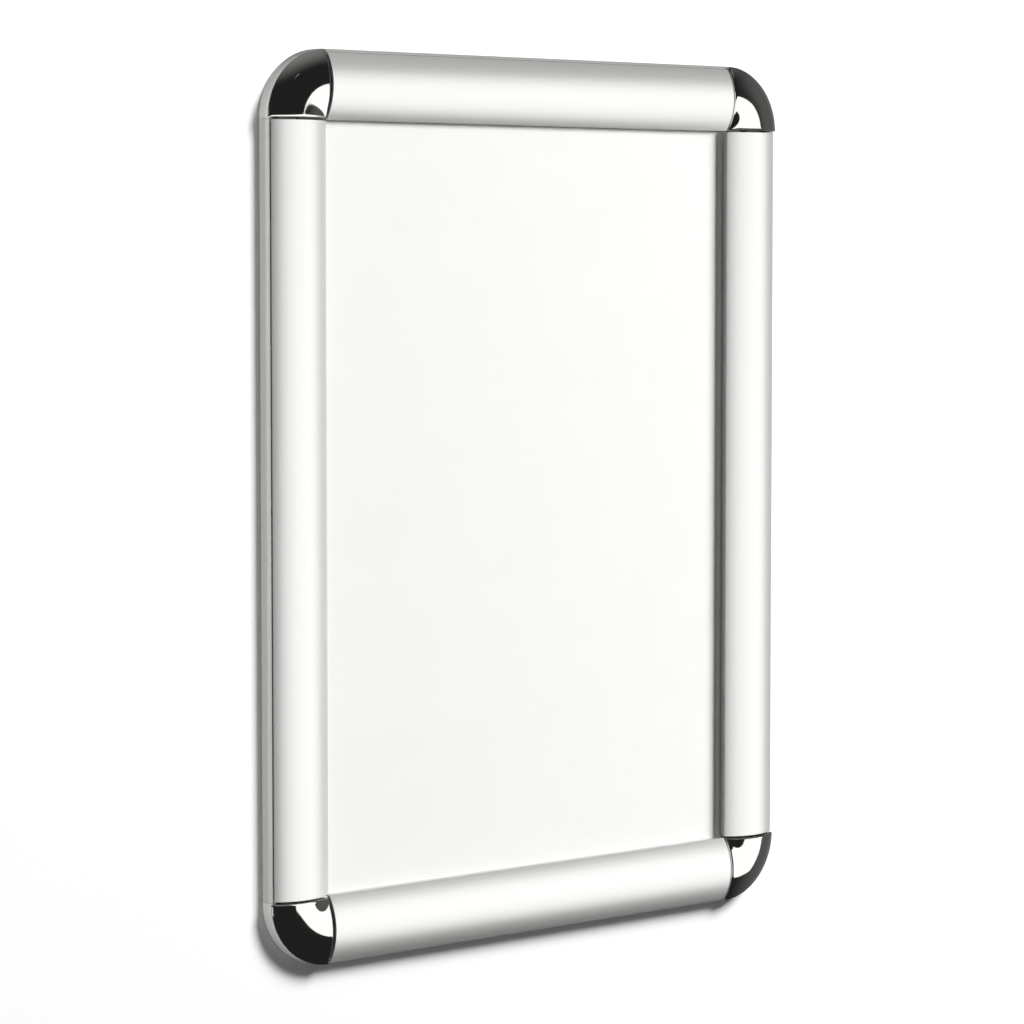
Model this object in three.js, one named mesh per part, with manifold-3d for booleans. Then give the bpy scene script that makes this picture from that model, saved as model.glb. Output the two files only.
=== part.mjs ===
// A wall-mounted snap frame for one A4 sheet, upright, in millimetres.
// X runs across the frame, Z runs up it, and the front faces -Y. The wall is the plane Y = 0, and the
// origin is the middle of the frame's back on that plane.
// Four base rails are screwed to four corner connectors. Along each base rail's outer edge a snap lid
// turns in a socket, held shut or open by two leaf springs that pass over centre. A chromed cap covers
// each corner. A back panel, a paper insert and a clear cover lie on the base rails under the lids.
//
// A rail's section is drawn in (u, v): u runs inwards from the frame's outer edge, v off the wall.
// A corner is drawn in (x, y, v): x and y run outwards from the opening's corner, v off the wall.

import * as THREE from 'three';
import { mergeVertices } from 'three/addons/utils/BufferGeometryUtils.js';
import Module from 'manifold-3d';

// The sheets, and how they lie in the frame.
const SHEET_WIDTH = 210;
const SHEET_HEIGHT = 297;
const SHEET_GRIP = 10;
const SHEET_PLAY = 0.6;
const SHEET_GAP = 0.03;
const BACK_PANEL_THICKNESS = 0.8;
const PAPER_THICKNESS = 0.12;
const COVER_THICKNESS = 0.4;

// The base rail's section.
const RAIL_WIDTH = 25;
const WEB_THICKNESS = 1.0;
const WEB_SETBACK = 0.5;
const SOCKET_LIFT = 0.25;
const SOCKET_RADIUS = 1.25;
const SOCKET_WALL = 0.7;
const SOCKET_LOWER_TIP = -54;
const SOCKET_UPPER_TIP = 117;
const RIB_THICKNESS = 1.0;
const RIB_RISE = 3.0;
const HOOK_THICKNESS = 0.8;
const HOOK_REACH = 1.2;

// The snap lid's section.
const LID_RADIUS = 19.15;
const LID_WALL = 1.1;
const LID_EDGE_ANGLE = 108;
const LID_EDGE_THICKNESS = 0.22;
const LIP_THICKNESS = 1.2;
const LIP_HEIGHT = 2.54;
const LIP_CLEARANCE = 0.05;
const LIP_ROUND = 0.35;
const BEAD_CLEARANCE = 0.25;
const POCKET_CLEARANCE = 0.25;
const ARM_LOWER_ANGLE = -45;
const ARM_UPPER_ANGLE = 20;
const FOOT_REACH = 3.85;
const FOOT_LIFT = 1.33;
const FOOT_BEVEL = 0.45;
const GROOVE_RADIUS = 2.02;
const GROOVE_ANGLE = -33;
const GROOVE_LIP = 0.13;

// The leaf springs.
const SPRING_THICKNESS = 0.4;
const SPRING_WIDTH = 20;
const SPRING_BOW = 0.55;
const SPRING_CLEARANCE = 0.15;
const SPRING_SETBACK = 50;

// The corner connector.
const END_GAP = 0.15;
const RIM_THICKNESS = 2.3;
const LEG_LENGTH = 22;
const LEG_HEADROOM = 0.25;
const LEG_CLEARANCE = 0.3;
const FLAT_CLEARANCE = 0.05;

// The chromed corner cap.
const LID_END_GAP = 0.4;
const CAP_END_GAP = 0.35;
const CAP_WALL = 1.4;
const CAP_END_WALL = 1.2;
const CAP_SKIRT = 1.2;
const CAP_SKIRT_CLEARANCE = 0.3;
const CAP_EDGE_LIFT = 0.26;
const CAP_EDGE_SETBACK = 0.15;
const CAP_EDGE_THICKNESS = 0.25;
const CAP_CROWN_DROP = 0.02;
const CAP_FLOOR_GAP = 0.15;
const CAP_TIP_RADIUS = 1.5;
const CAP_CORE_RADIUS = 3;
const BOSS_RADIUS = 2.6;
const BOSS_DISTANCE = 18;
const BORE_ROOF = 0.5;

// The screws and their holes.
const SCREW_RADIUS = 1.1;
const SCREW_HEAD_RADIUS = 2.2;
const SCREW_SINK = 0.05;
const SCREW_CLEARANCE = 0.25;
const SCREW_TIP = 0.15;
const RECESS_LENGTH = 2.2;
const RECESS_WIDTH = 0.5;
const RECESS_DEPTH = 0.5;
const LEG_SCREW_SETBACK = 12;
const WALL_HOLE_RADIUS = 2.25;
const WALL_HOLE_SINK = 0.9;
const WALL_HOLE_SETBACK = 35;

// How finely round shapes are stepped.
const ARC_STEP = 15;
const LID_STEPS = 20;
const CORNER_STEPS = 14;
const SCREW_SEGMENTS = 14;
const SPRING_STEPS = 10;
const ROUND_STEPS = 4;

// A tool for a cut runs past the face that it cuts by this much.
const OVERCUT = 1;

// Sizes worked out from those above.
const openingWidth = SHEET_WIDTH - 2 * SHEET_GRIP;
const openingHeight = SHEET_HEIGHT - 2 * SHEET_GRIP;
const socketOutside = SOCKET_RADIUS + SOCKET_WALL;
const hinge = new THREE.Vector2(socketOutside, WEB_THICKNESS + SOCKET_LIFT + socketOutside);
const beadRadius = SOCKET_RADIUS - BEAD_CLEARANCE;
const pocketRadius = socketOutside + POCKET_CLEARANCE;
const ribInner = RAIL_WIDTH - SHEET_GRIP - SHEET_PLAY;
const ribOuter = ribInner - RIB_THICKNESS;
const ribTop = WEB_THICKNESS + RIB_RISE;
const hookUnderside = ribTop - HOOK_THICKNESS;
const backPanelBack = WEB_THICKNESS + SHEET_GAP;
const paperBack = backPanelBack + BACK_PANEL_THICKNESS + SHEET_GAP;
const coverBack = paperBack + PAPER_THICKNESS + SHEET_GAP;
const coverFront = coverBack + COVER_THICKNESS;
const lipBottom = coverFront + LIP_CLEARANCE;
const innerEdge = new THREE.Vector2(RAIL_WIDTH, lipBottom + LIP_HEIGHT);
const footInside = hinge.x + FOOT_REACH;
const footBottom = WEB_THICKNESS + FOOT_LIFT;
const legOuter = footInside + LEG_CLEARANCE;
const legInner = ribOuter - LEG_CLEARANCE;
const legMiddle = (legOuter + legInner) / 2;
const legBottom = WEB_THICKNESS + FLAT_CLEARANCE;
const legTop = hookUnderside - LEG_HEADROOM;
const screwHoleRadius = SCREW_RADIUS + SCREW_CLEARANCE;
const sinkDepth = SCREW_HEAD_RADIUS - SCREW_RADIUS;

// The materials, with colours from the photograph.
const FINISHES = {
  anodised: { color: 0xc9cbcc, roughness: 0.38, metalness: 0.9 },
  base: { color: 0xbfc1c3, roughness: 0.45, metalness: 0.85 },
  connector: { color: 0xb9bbbd, roughness: 0.5, metalness: 0.1 },
  chrome: { color: 0xe6e8ea, roughness: 0.06, metalness: 1.0 },
  zinc: { color: 0xb4b7b8, roughness: 0.35, metalness: 0.95 },
  spring: { color: 0x6d7278, roughness: 0.4, metalness: 0.9 },
  panel: { color: 0xf0f0ee, roughness: 0.7, metalness: 0.0 },
  paper: { color: 0xfbfbfa, roughness: 0.9, metalness: 0.0 },
  cover: { color: 0xf4f6f7, roughness: 0.12, metalness: 0.0 },
};

const wasm = await Module();
wasm.setup();

// Booleans

// The triangles of an index that don't fold onto a shared vertex, as they do at a turned shape's pole.
function wholeTriangles(index) {
  const kept = [];
  for (let i = 0; i < index.length; i += 3) {
    const [a, b, c] = [index[i], index[i + 1], index[i + 2]];
    if (a !== b && b !== c && c !== a) {
      kept.push(a, b, c);
    }
  }
  return Uint32Array.from(kept);
}

function solidOf(geometry) {
  const bare = geometry.clone();
  bare.deleteAttribute('normal');
  bare.deleteAttribute('uv');
  const merged = mergeVertices(bare, 1e-4);
  return new wasm.Manifold(new wasm.Mesh({
    numProp: 3,
    vertProperties: Float32Array.from(merged.attributes.position.array),
    triVerts: wholeTriangles(merged.index.array),
  }));
}

function geometryOf(solid) {
  const mesh = solid.getMesh();
  const geometry = new THREE.BufferGeometry();
  geometry.setAttribute('position', new THREE.BufferAttribute(mesh.vertProperties, 3));
  geometry.setIndex(new THREE.BufferAttribute(mesh.triVerts, 1));
  geometry.computeVertexNormals();
  return geometry;
}

// Shapes

// A point at a distance and an angle, in degrees, from a centre.
function polar(centre, radius, degrees) {
  const angle = THREE.MathUtils.degToRad(degrees);
  return new THREE.Vector2(centre.x + radius * Math.cos(angle), centre.y + radius * Math.sin(angle));
}

// Points along an arc from one angle to another, both ends included.
function arc(centre, radius, fromDegrees, toDegrees, steps) {
  const count = steps ?? Math.max(2, Math.ceil(Math.abs(toDegrees - fromDegrees) / ARC_STEP));
  return Array.from({ length: count + 1 }, (_, i) =>
    polar(centre, radius, fromDegrees + (toDegrees - fromDegrees) * i / count));
}

// A corner softened by a curve that starts and ends a reach away from it.
function softCorner(before, corner, after, reach) {
  const start = corner.clone().add(before.clone().sub(corner).setLength(reach));
  const end = corner.clone().add(after.clone().sub(corner).setLength(reach));
  return new THREE.QuadraticBezierCurve(start, corner, end).getPoints(ROUND_STEPS);
}

// A closed outline pulled along a straight length, centred on it.
function extruded(points, length) {
  const geometry = new THREE.ExtrudeGeometry(new THREE.Shape(points), { depth: length, bevelEnabled: false });
  return geometry.translate(0, 0, -length / 2);
}

// A box between two corners.
function boxBetween(low, high) {
  const size = high.clone().sub(low);
  const geometry = new THREE.BoxGeometry(size.x, size.y, size.z);
  return geometry.translate((low.x + high.x) / 2, (low.y + high.y) / 2, (low.z + high.z) / 2);
}

// A profile of (radius, height) turned about the height axis, which is Y.
function turned(profile) {
  return new THREE.LatheGeometry(profile, SCREW_SEGMENTS);
}

// A closed profile of (radius, height) turned about Z through the quarter between the corner lines,
// with each end cut flat at a setback from its line. What lies on the axis closes to one point.
function quarterTurned(profile, setback) {
  const loop = THREE.ShapeUtils.isClockWise(profile) ? [...profile].reverse() : profile;
  const radii = loop.map((point) => Math.max(point.x, setback * Math.SQRT2));
  const positions = [];
  for (const [i, point] of loop.entries()) {
    const trim = Math.asin(setback / radii[i]);
    for (let j = 0; j <= CORNER_STEPS; j += 1) {
      const angle = trim + (Math.PI / 2 - 2 * trim) * j / CORNER_STEPS;
      positions.push(radii[i] * Math.cos(angle), radii[i] * Math.sin(angle), point.y);
    }
  }
  const at = (i, j) => (i % loop.length) * (CORNER_STEPS + 1) + j;
  const index = [];
  for (let i = 0; i < loop.length; i += 1) {
    for (let j = 0; j < CORNER_STEPS; j += 1) {
      index.push(at(i, j), at(i, j + 1), at(i + 1, j + 1));
      index.push(at(i, j), at(i + 1, j + 1), at(i + 1, j));
    }
  }
  const flatEnd = loop.map((point, i) => new THREE.Vector2(Math.sqrt(radii[i] ** 2 - setback ** 2), point.y));
  for (const [a, b, c] of THREE.ShapeUtils.triangulateShape(flatEnd, [])) {
    index.push(at(a, 0), at(b, 0), at(c, 0));
    index.push(at(a, CORNER_STEPS), at(c, CORNER_STEPS), at(b, CORNER_STEPS));
  }
  const geometry = new THREE.BufferGeometry();
  geometry.setAttribute('position', new THREE.Float32BufferAttribute(positions, 3));
  return geometry.setIndex(index);
}

function mesh(name, geometry, finish) {
  const piece = new THREE.Mesh(geometry, new THREE.MeshStandardMaterial(FINISHES[finish]));
  piece.name = name;
  return piece;
}

// The arches of the lids and caps

// The centre of the circle that passes through an outer and an inner edge, on the wall's side.
function archCentre(outer, inner, radius) {
  const chord = inner.clone().sub(outer);
  const rise = Math.sqrt(radius ** 2 - chord.lengthSq() / 4);
  const towardsWall = new THREE.Vector2(chord.y, -chord.x).setLength(rise);
  return outer.clone().add(inner).multiplyScalar(0.5).add(towardsWall);
}

// The angle on a circle where it reaches a given u.
function arcAngleAt(u, centre, radius) {
  return THREE.MathUtils.radToDeg(Math.acos((u - centre.x) / radius));
}

function arcHeightAt(u, centre, radius) {
  return centre.y + Math.sqrt(radius ** 2 - (u - centre.x) ** 2);
}

const outerEdge = polar(hinge, pocketRadius + LID_EDGE_THICKNESS, LID_EDGE_ANGLE);
const lidCentre = archCentre(outerEdge, innerEdge, LID_RADIUS);

// The cap's arch runs out over the connector's rim, and its crown stays just under the lids' crown.
const capEdgeUnder = polar(hinge, socketOutside, SOCKET_UPPER_TIP).y + CAP_EDGE_LIFT;
const capEdge = new THREE.Vector2(CAP_EDGE_SETBACK, capEdgeUnder + CAP_EDGE_THICKNESS);
const capRise = lidCentre.y + LID_RADIUS - CAP_CROWN_DROP - (capEdge.y + innerEdge.y) / 2;
const capRadius = (capEdge.distanceToSquared(innerEdge) / 4 + capRise ** 2) / (2 * capRise);
const capCentre = archCentre(capEdge, innerEdge, capRadius);

// Sections in (u, v)

// The outside of the rail's foot: up the outer wall and round the socket to its upper tip.
function outerWall() {
  return [
    new THREE.Vector2(0, 0),
    ...arc(hinge, socketOutside, 180, SOCKET_UPPER_TIP),
  ];
}

// The base rail: a flat web, a socket along its outer edge and a hooked rib that stops the sheets.
function baseSection() {
  const webEnd = RAIL_WIDTH - WEB_SETBACK;
  const lowerTip = polar(hinge, socketOutside, SOCKET_LOWER_TIP);
  return [
    ...outerWall(),
    ...arc(hinge, SOCKET_RADIUS, SOCKET_UPPER_TIP, SOCKET_LOWER_TIP + 360),
    lowerTip,
    new THREE.Vector2(lowerTip.x, WEB_THICKNESS),
    new THREE.Vector2(ribOuter, WEB_THICKNESS),
    new THREE.Vector2(ribOuter, hookUnderside),
    new THREE.Vector2(ribOuter - HOOK_REACH, hookUnderside),
    new THREE.Vector2(ribOuter - HOOK_REACH, ribTop),
    new THREE.Vector2(ribInner, ribTop),
    new THREE.Vector2(ribInner, WEB_THICKNESS),
    new THREE.Vector2(webEnd, WEB_THICKNESS),
    new THREE.Vector2(webEnd, 0),
  ];
}

// The lid: an arched shell with a lip on the sheets, a foot, and an arm that ends in the hinge bead.
// The arm's outer end has a groove for the springs, and the shell's underside clears the socket.
function lidSection() {
  const shellInside = LID_RADIUS - LID_WALL;
  const lipOuter = RAIL_WIDTH - LIP_THICKNESS;
  const lipAngle = arcAngleAt(RAIL_WIDTH, lidCentre, LID_RADIUS)
    + THREE.MathUtils.radToDeg(LIP_ROUND / LID_RADIUS);
  const shell = arc(lidCentre, LID_RADIUS, lipAngle, arcAngleAt(outerEdge.x, lidCentre, LID_RADIUS),
    LID_STEPS);
  const groove = polar(hinge, GROOVE_RADIUS, GROOVE_ANGLE);
  const lipBack = new THREE.Vector2(RAIL_WIDTH, lipBottom);
  return [
    new THREE.Vector2(lipOuter, lipBottom),
    ...softCorner(new THREE.Vector2(lipOuter, lipBottom), lipBack, innerEdge, LIP_ROUND),
    ...softCorner(lipBack, innerEdge, shell[0], LIP_ROUND).slice(0, -1),
    ...shell,
    ...arc(hinge, pocketRadius, LID_EDGE_ANGLE, ARM_UPPER_ANGLE),
    ...arc(hinge, beadRadius, ARM_UPPER_ANGLE, ARM_LOWER_ANGLE + 360),
    polar(hinge, GROOVE_RADIUS + GROOVE_LIP, ARM_LOWER_ANGLE),
    groove,
    new THREE.Vector2(footInside - FOOT_BEVEL, footBottom),
    new THREE.Vector2(footInside, footBottom + FOOT_BEVEL),
    ...arc(lidCentre, shellInside, arcAngleAt(footInside, lidCentre, shellInside),
      arcAngleAt(lipOuter, lidCentre, shellInside), LID_STEPS),
  ];
}

// A leaf spring, bowed towards the wall, from the lid's groove to the corner under the rib's hook.
function springSection() {
  const half = SPRING_THICKNESS / 2;
  const tip = polar(hinge, GROOVE_RADIUS + half + SPRING_CLEARANCE, GROOVE_ANGLE);
  const seat = new THREE.Vector2(ribOuter - half - SPRING_CLEARANCE, hookUnderside - half - SPRING_CLEARANCE);
  const middle = tip.clone().add(seat).multiplyScalar(0.5);
  middle.y -= 2 * SPRING_BOW;
  const leaf = new THREE.QuadraticBezierCurve(tip, middle, seat);
  const side = (sign) => Array.from({ length: SPRING_STEPS + 1 }, (_, i) => {
    const along = leaf.getTangent(i / SPRING_STEPS);
    const across = new THREE.Vector2(along.y, -along.x).multiplyScalar(sign * half);
    return leaf.getPoint(i / SPRING_STEPS).add(across);
  });
  return [...side(1), ...side(-1).reverse()];
}

// Screws

// A countersunk screw, its head's face at height 0 and its point at the given height.
function screw(length) {
  const profile = [
    new THREE.Vector2(0, SCREW_SINK),
    new THREE.Vector2(SCREW_HEAD_RADIUS - SCREW_SINK, SCREW_SINK),
    new THREE.Vector2(SCREW_RADIUS, sinkDepth),
    new THREE.Vector2(SCREW_RADIUS, length - SCREW_RADIUS / 2),
    new THREE.Vector2(SCREW_RADIUS / 2, length),
    new THREE.Vector2(0, length),
  ];
  const slot = (x, z) => solidOf(boxBetween(
    new THREE.Vector3(-x / 2, -OVERCUT, -z / 2),
    new THREE.Vector3(x / 2, SCREW_SINK + RECESS_DEPTH, z / 2),
  ));
  return geometryOf(solidOf(turned(profile))
    .subtract(slot(RECESS_LENGTH, RECESS_WIDTH))
    .subtract(slot(RECESS_WIDTH, RECESS_LENGTH)));
}

// The tool that cuts a screw's countersunk hole, from the wall side up to the given height.
function screwHole(depth) {
  return turned([
    new THREE.Vector2(0, -OVERCUT),
    new THREE.Vector2(SCREW_HEAD_RADIUS + SCREW_CLEARANCE, -OVERCUT),
    new THREE.Vector2(SCREW_HEAD_RADIUS + SCREW_CLEARANCE, 0),
    new THREE.Vector2(screwHoleRadius, sinkDepth),
    new THREE.Vector2(screwHoleRadius, depth),
    new THREE.Vector2(0, depth),
  ]);
}

// The tool that cuts a hole for a wall screw, sunk on the web's front.
function wallHole() {
  return turned([
    new THREE.Vector2(0, -OVERCUT),
    new THREE.Vector2(WALL_HOLE_RADIUS, -OVERCUT),
    new THREE.Vector2(WALL_HOLE_RADIUS, WEB_THICKNESS / 3),
    new THREE.Vector2(WALL_HOLE_RADIUS + WALL_HOLE_SINK, WEB_THICKNESS),
    new THREE.Vector2(WALL_HOLE_RADIUS + WALL_HOLE_SINK, WEB_THICKNESS + OVERCUT),
    new THREE.Vector2(0, WEB_THICKNESS + OVERCUT),
  ]);
}

// One side of the frame

function baseRail(length, wallHoles) {
  let rail = solidOf(extruded(baseSection(), length - END_GAP));
  for (const end of [-1, 1]) {
    const along = end * (length / 2 - LEG_SCREW_SETBACK);
    rail = rail.subtract(solidOf(screwHole(WEB_THICKNESS + OVERCUT).translate(legMiddle, 0, along)));
    if (wallHoles) {
      const place = end * (length / 2 - WALL_HOLE_SETBACK);
      rail = rail.subtract(solidOf(wallHole().translate(legMiddle, 0, place)));
    }
  }
  return geometryOf(rail);
}

// A rail, its lid, its springs and the screws that hold it to the connectors.
// inward points from the rail to the opening, and the section's v always points at the front.
function side(name, inward, length, span, wallHoles) {
  const group = new THREE.Group();
  const front = new THREE.Vector3(0, -1, 0);
  const along = inward.clone().cross(front);
  group.quaternion.setFromRotationMatrix(new THREE.Matrix4().makeBasis(inward, front, along));
  group.position.copy(inward).multiplyScalar(-(span / 2 + RAIL_WIDTH));
  group.add(mesh(`${name}_base_rail`, baseRail(length, wallHoles), 'base'));
  group.add(mesh(`${name}_snap_lid`, extruded(lidSection(), length - 2 * LID_END_GAP), 'anodised'));
  for (const [index, end] of [-1, 1].entries()) {
    const leaf = extruded(springSection(), SPRING_WIDTH);
    const spring = mesh(`${name}_leaf_spring_${index + 1}`, leaf, 'spring');
    spring.position.z = end * (length / 2 - SPRING_SETBACK);
    group.add(spring);
    const fixing = mesh(`${name}_rail_screw_${index + 1}`, screw(legTop - SCREW_TIP), 'zinc');
    fixing.position.set(legMiddle, 0, end * (length / 2 - LEG_SCREW_SETBACK));
    group.add(fixing);
  }
  return group;
}

// One corner

// A section's u turned into a radius about the opening's corner.
function radiusOf(point) {
  return new THREE.Vector2(RAIL_WIDTH - point.x, point.y);
}

const bossOffset = BOSS_DISTANCE / Math.SQRT2;

// The height of the cap's underside over the middle of its boss.
const capRoof = arcHeightAt(RAIL_WIDTH - BOSS_DISTANCE, capCentre, capRadius - CAP_WALL);

// The connector: a quarter-round floor and rim that carry on the base rails' outside, and an L-shaped
// key whose two legs reach into the rails.
function connector() {
  const outside = outerWall().map(radiusOf);
  const rimTop = outside.at(-1).y;
  const rimInner = RAIL_WIDTH - RIM_THICKNESS;
  const start = END_GAP / 2;
  const dish = solidOf(quarterTurned([
    new THREE.Vector2(0, 0),
    ...outside,
    new THREE.Vector2(rimInner, rimTop),
    new THREE.Vector2(rimInner, WEB_THICKNESS),
    new THREE.Vector2(0, WEB_THICKNESS),
  ], start));
  const near = RAIL_WIDTH - legInner;
  const far = RAIL_WIDTH - legOuter;
  const keyLow = WEB_THICKNESS / 2;
  const keyOutline = solidOf(quarterTurned([
    new THREE.Vector2(0, keyLow),
    new THREE.Vector2(rimInner + SOCKET_WALL, keyLow),
    new THREE.Vector2(rimInner + SOCKET_WALL, legTop),
    new THREE.Vector2(0, legTop),
  ], start));
  const bar = (low, high) => solidOf(boxBetween(low, high));
  const key = bar(new THREE.Vector3(near, 0, 0), new THREE.Vector3(far, far, legTop + OVERCUT))
    .add(bar(new THREE.Vector3(0, near, 0), new THREE.Vector3(far, far, legTop + OVERCUT)))
    .intersect(keyOutline);
  const legs = bar(new THREE.Vector3(near, -LEG_LENGTH, legBottom), new THREE.Vector3(far, near, legTop))
    .add(bar(new THREE.Vector3(-LEG_LENGTH, near, legBottom), new THREE.Vector3(near, far, legTop)));
  const hole = (x, y) => solidOf(screwHole(legTop + OVERCUT).rotateX(Math.PI / 2).translate(x, y, 0));
  const legHole = RAIL_WIDTH - legMiddle;
  return geometryOf(dish.add(key).add(legs)
    .subtract(hole(bossOffset, bossOffset))
    .subtract(hole(legHole, -LEG_SCREW_SETBACK))
    .subtract(hole(-LEG_SCREW_SETBACK, legHole)));
}

// The cap: an arch turned about the opening's corner, hollow below, with a skirt inside the connector's
// rim, a wall at each end and a boss for its screw.
function cornerCap() {
  const capFloor = legTop + CAP_FLOOR_GAP;
  const skirtOuter = RIM_THICKNESS + CAP_SKIRT_CLEARANCE;
  const skirtInner = skirtOuter + CAP_SKIRT;
  const roof = capRadius - CAP_WALL;
  const hollowInner = RAIL_WIDTH - CAP_CORE_RADIUS;
  const outside = arc(capCentre, capRadius, arcAngleAt(capEdge.x, capCentre, capRadius),
    arcAngleAt(RAIL_WIDTH, capCentre, capRadius), LID_STEPS).map(radiusOf);
  const body = solidOf(quarterTurned([
    new THREE.Vector2(0, lipBottom),
    new THREE.Vector2(CAP_TIP_RADIUS, lipBottom),
    new THREE.Vector2(CAP_TIP_RADIUS, capFloor),
    radiusOf(new THREE.Vector2(skirtOuter, capFloor)),
    radiusOf(new THREE.Vector2(skirtOuter, capEdgeUnder)),
    radiusOf(new THREE.Vector2(capEdge.x, capEdgeUnder)),
    ...outside.slice(0, -1),
    new THREE.Vector2(0, innerEdge.y),
  ], CAP_END_GAP));
  const hollow = solidOf(quarterTurned([
    new THREE.Vector2(hollowInner, -OVERCUT),
    new THREE.Vector2(skirtInner, -OVERCUT),
    ...arc(capCentre, roof, arcAngleAt(skirtInner, capCentre, roof), arcAngleAt(hollowInner, capCentre, roof),
      CORNER_STEPS),
  ].map(radiusOf), CAP_END_GAP + CAP_END_WALL));
  const round = (radius, low, high) => solidOf(turned([
    new THREE.Vector2(0, low),
    new THREE.Vector2(radius, low),
    new THREE.Vector2(radius, high),
    new THREE.Vector2(0, high),
  ]).rotateX(Math.PI / 2).translate(bossOffset, bossOffset, 0));
  return geometryOf(body.subtract(hollow)
    .add(round(BOSS_RADIUS, capFloor, capRoof + CAP_WALL / 2))
    .subtract(round(screwHoleRadius, -OVERCUT, capRoof - BORE_ROOF)));
}

function corner(name, across, up) {
  const group = new THREE.Group();
  const front = new THREE.Vector3(0, -1, 0);
  group.quaternion.setFromRotationMatrix(new THREE.Matrix4().makeBasis(across, up, front));
  const outwards = across.clone().add(up);
  group.position.set(outwards.x * openingWidth / 2, 0, outwards.z * openingHeight / 2);
  group.add(mesh(`${name}_connector`, connector(), 'connector'));
  group.add(mesh(`${name}_corner_cap`, cornerCap(), 'chrome'));
  const fixing = mesh(`${name}_cap_screw`, screw(capRoof - BORE_ROOF - SCREW_CLEARANCE), 'zinc');
  fixing.rotation.x = Math.PI / 2;
  fixing.position.set(bossOffset, bossOffset, 0);
  group.add(fixing);
  return group;
}

// The sheets

function sheet(name, thickness, back, finish) {
  const piece = mesh(name, new THREE.BoxGeometry(SHEET_WIDTH, thickness, SHEET_HEIGHT), finish);
  piece.position.y = -(back + thickness / 2);
  return piece;
}

const frame = new THREE.Group();
const right = new THREE.Vector3(1, 0, 0);
const left = new THREE.Vector3(-1, 0, 0);
const up = new THREE.Vector3(0, 0, 1);
const down = new THREE.Vector3(0, 0, -1);

frame.add(side('left', right, openingHeight, openingWidth, true));
frame.add(side('right', left, openingHeight, openingWidth, true));
frame.add(side('top', down, openingWidth, openingHeight, false));
frame.add(side('bottom', up, openingWidth, openingHeight, false));
frame.add(corner('top_right', right, up));
frame.add(corner('top_left', up, left));
frame.add(corner('bottom_left', left, down));
frame.add(corner('bottom_right', down, right));
frame.add(sheet('back_panel', BACK_PANEL_THICKNESS, backPanelBack, 'panel'));
frame.add(sheet('paper_insert', PAPER_THICKNESS, paperBack, 'paper'));
frame.add(sheet('clear_cover', COVER_THICKNESS, coverBack, 'cover'));

export default frame;
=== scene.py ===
"""The looks of a wall-mounted snap frame for one A4 sheet.

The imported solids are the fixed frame. Each piece here is a finer surface that stands for one of them: rails
and lids drawn as long sections, corners turned about the opening's corners, sprung leaves, screws and sheets.
Everything is in metres. A rail's section is drawn in (u, v): u runs inwards from the frame's outer edge and v
off the wall. A corner is drawn in (x, y, v): x and y run outwards from the opening's corner.
"""

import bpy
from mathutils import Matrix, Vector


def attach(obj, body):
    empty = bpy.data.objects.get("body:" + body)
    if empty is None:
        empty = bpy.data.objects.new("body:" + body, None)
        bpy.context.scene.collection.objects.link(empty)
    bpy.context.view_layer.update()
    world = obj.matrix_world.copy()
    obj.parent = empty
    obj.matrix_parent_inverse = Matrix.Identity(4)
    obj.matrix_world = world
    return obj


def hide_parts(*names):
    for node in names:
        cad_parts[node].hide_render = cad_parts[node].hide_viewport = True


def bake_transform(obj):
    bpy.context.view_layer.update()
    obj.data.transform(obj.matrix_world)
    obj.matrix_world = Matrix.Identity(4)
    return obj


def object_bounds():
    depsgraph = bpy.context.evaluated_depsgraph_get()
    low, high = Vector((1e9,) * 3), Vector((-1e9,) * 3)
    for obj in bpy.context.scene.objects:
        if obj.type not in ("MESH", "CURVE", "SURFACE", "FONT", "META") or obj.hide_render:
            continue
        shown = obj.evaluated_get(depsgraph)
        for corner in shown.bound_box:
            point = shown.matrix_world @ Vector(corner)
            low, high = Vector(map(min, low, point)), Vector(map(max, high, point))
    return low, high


bl_info = {
    "name": "Snap Frame",
    "version": (1, 0, 0),
    "blender": (4, 5, 0),
    "location": "View3D > Sidebar > Snap Frame",
    "description": "Dresses a wall-mounted snap frame and its studio",
    "category": "Object",
}

import bmesh
import bpy
import numpy as np
from bpy.props import FloatProperty, FloatVectorProperty, PointerProperty
from bpy.types import Operator, Panel, PropertyGroup
from mathutils import Matrix, Vector

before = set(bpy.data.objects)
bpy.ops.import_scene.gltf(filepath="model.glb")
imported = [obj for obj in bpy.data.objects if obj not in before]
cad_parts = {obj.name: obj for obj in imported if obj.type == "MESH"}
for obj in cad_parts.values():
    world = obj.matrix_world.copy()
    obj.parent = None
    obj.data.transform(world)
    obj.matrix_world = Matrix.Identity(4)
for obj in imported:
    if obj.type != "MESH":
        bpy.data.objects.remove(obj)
solid_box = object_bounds()

MM = 0.001

# Angles of the sections, in degrees, and counts of the steps that round shapes are drawn in.
SOCKET_LOWER_TIP = -54
SOCKET_UPPER_TIP = 117
LID_EDGE_ANGLE = 108
ARM_LOWER_ANGLE = -45
ARM_UPPER_ANGLE = 20
GROOVE_ANGLE = -33
SOCKET_STEPS = 40
LID_STEPS = 72
TURN_STEPS = 72
SCREW_STEPS = 40
LEAF_STEPS = 28
ROUND_STEPS = 4
SHARP_ANGLE = 32
LEAST_TURN = 30
THREAD_STEPS = 10

# Points closer than this are one point, and a length under a hair makes no difference.
SAME_POINT = 1e-4 * MM
HAIR = 1e-3 * MM

# How far a cutting tool reaches past what it cuts.
OVERCUT = 1 * MM

# Softenings and tapers that aren't a user's to change: of a leg's edges and of the screws' cross recess, and
# shares of a leaf's thickness, of a sheet's and of an outline's edge.
LEG_ROUND = 0.5 * MM
RECESS_TAPER = 0.12 * MM
LEAF_EDGE_ROUND = 0.35
LEAF_END_ROUND = 0.3
SHEET_ROUND = 0.2
EDGE_SHARE = 0.45

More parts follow.
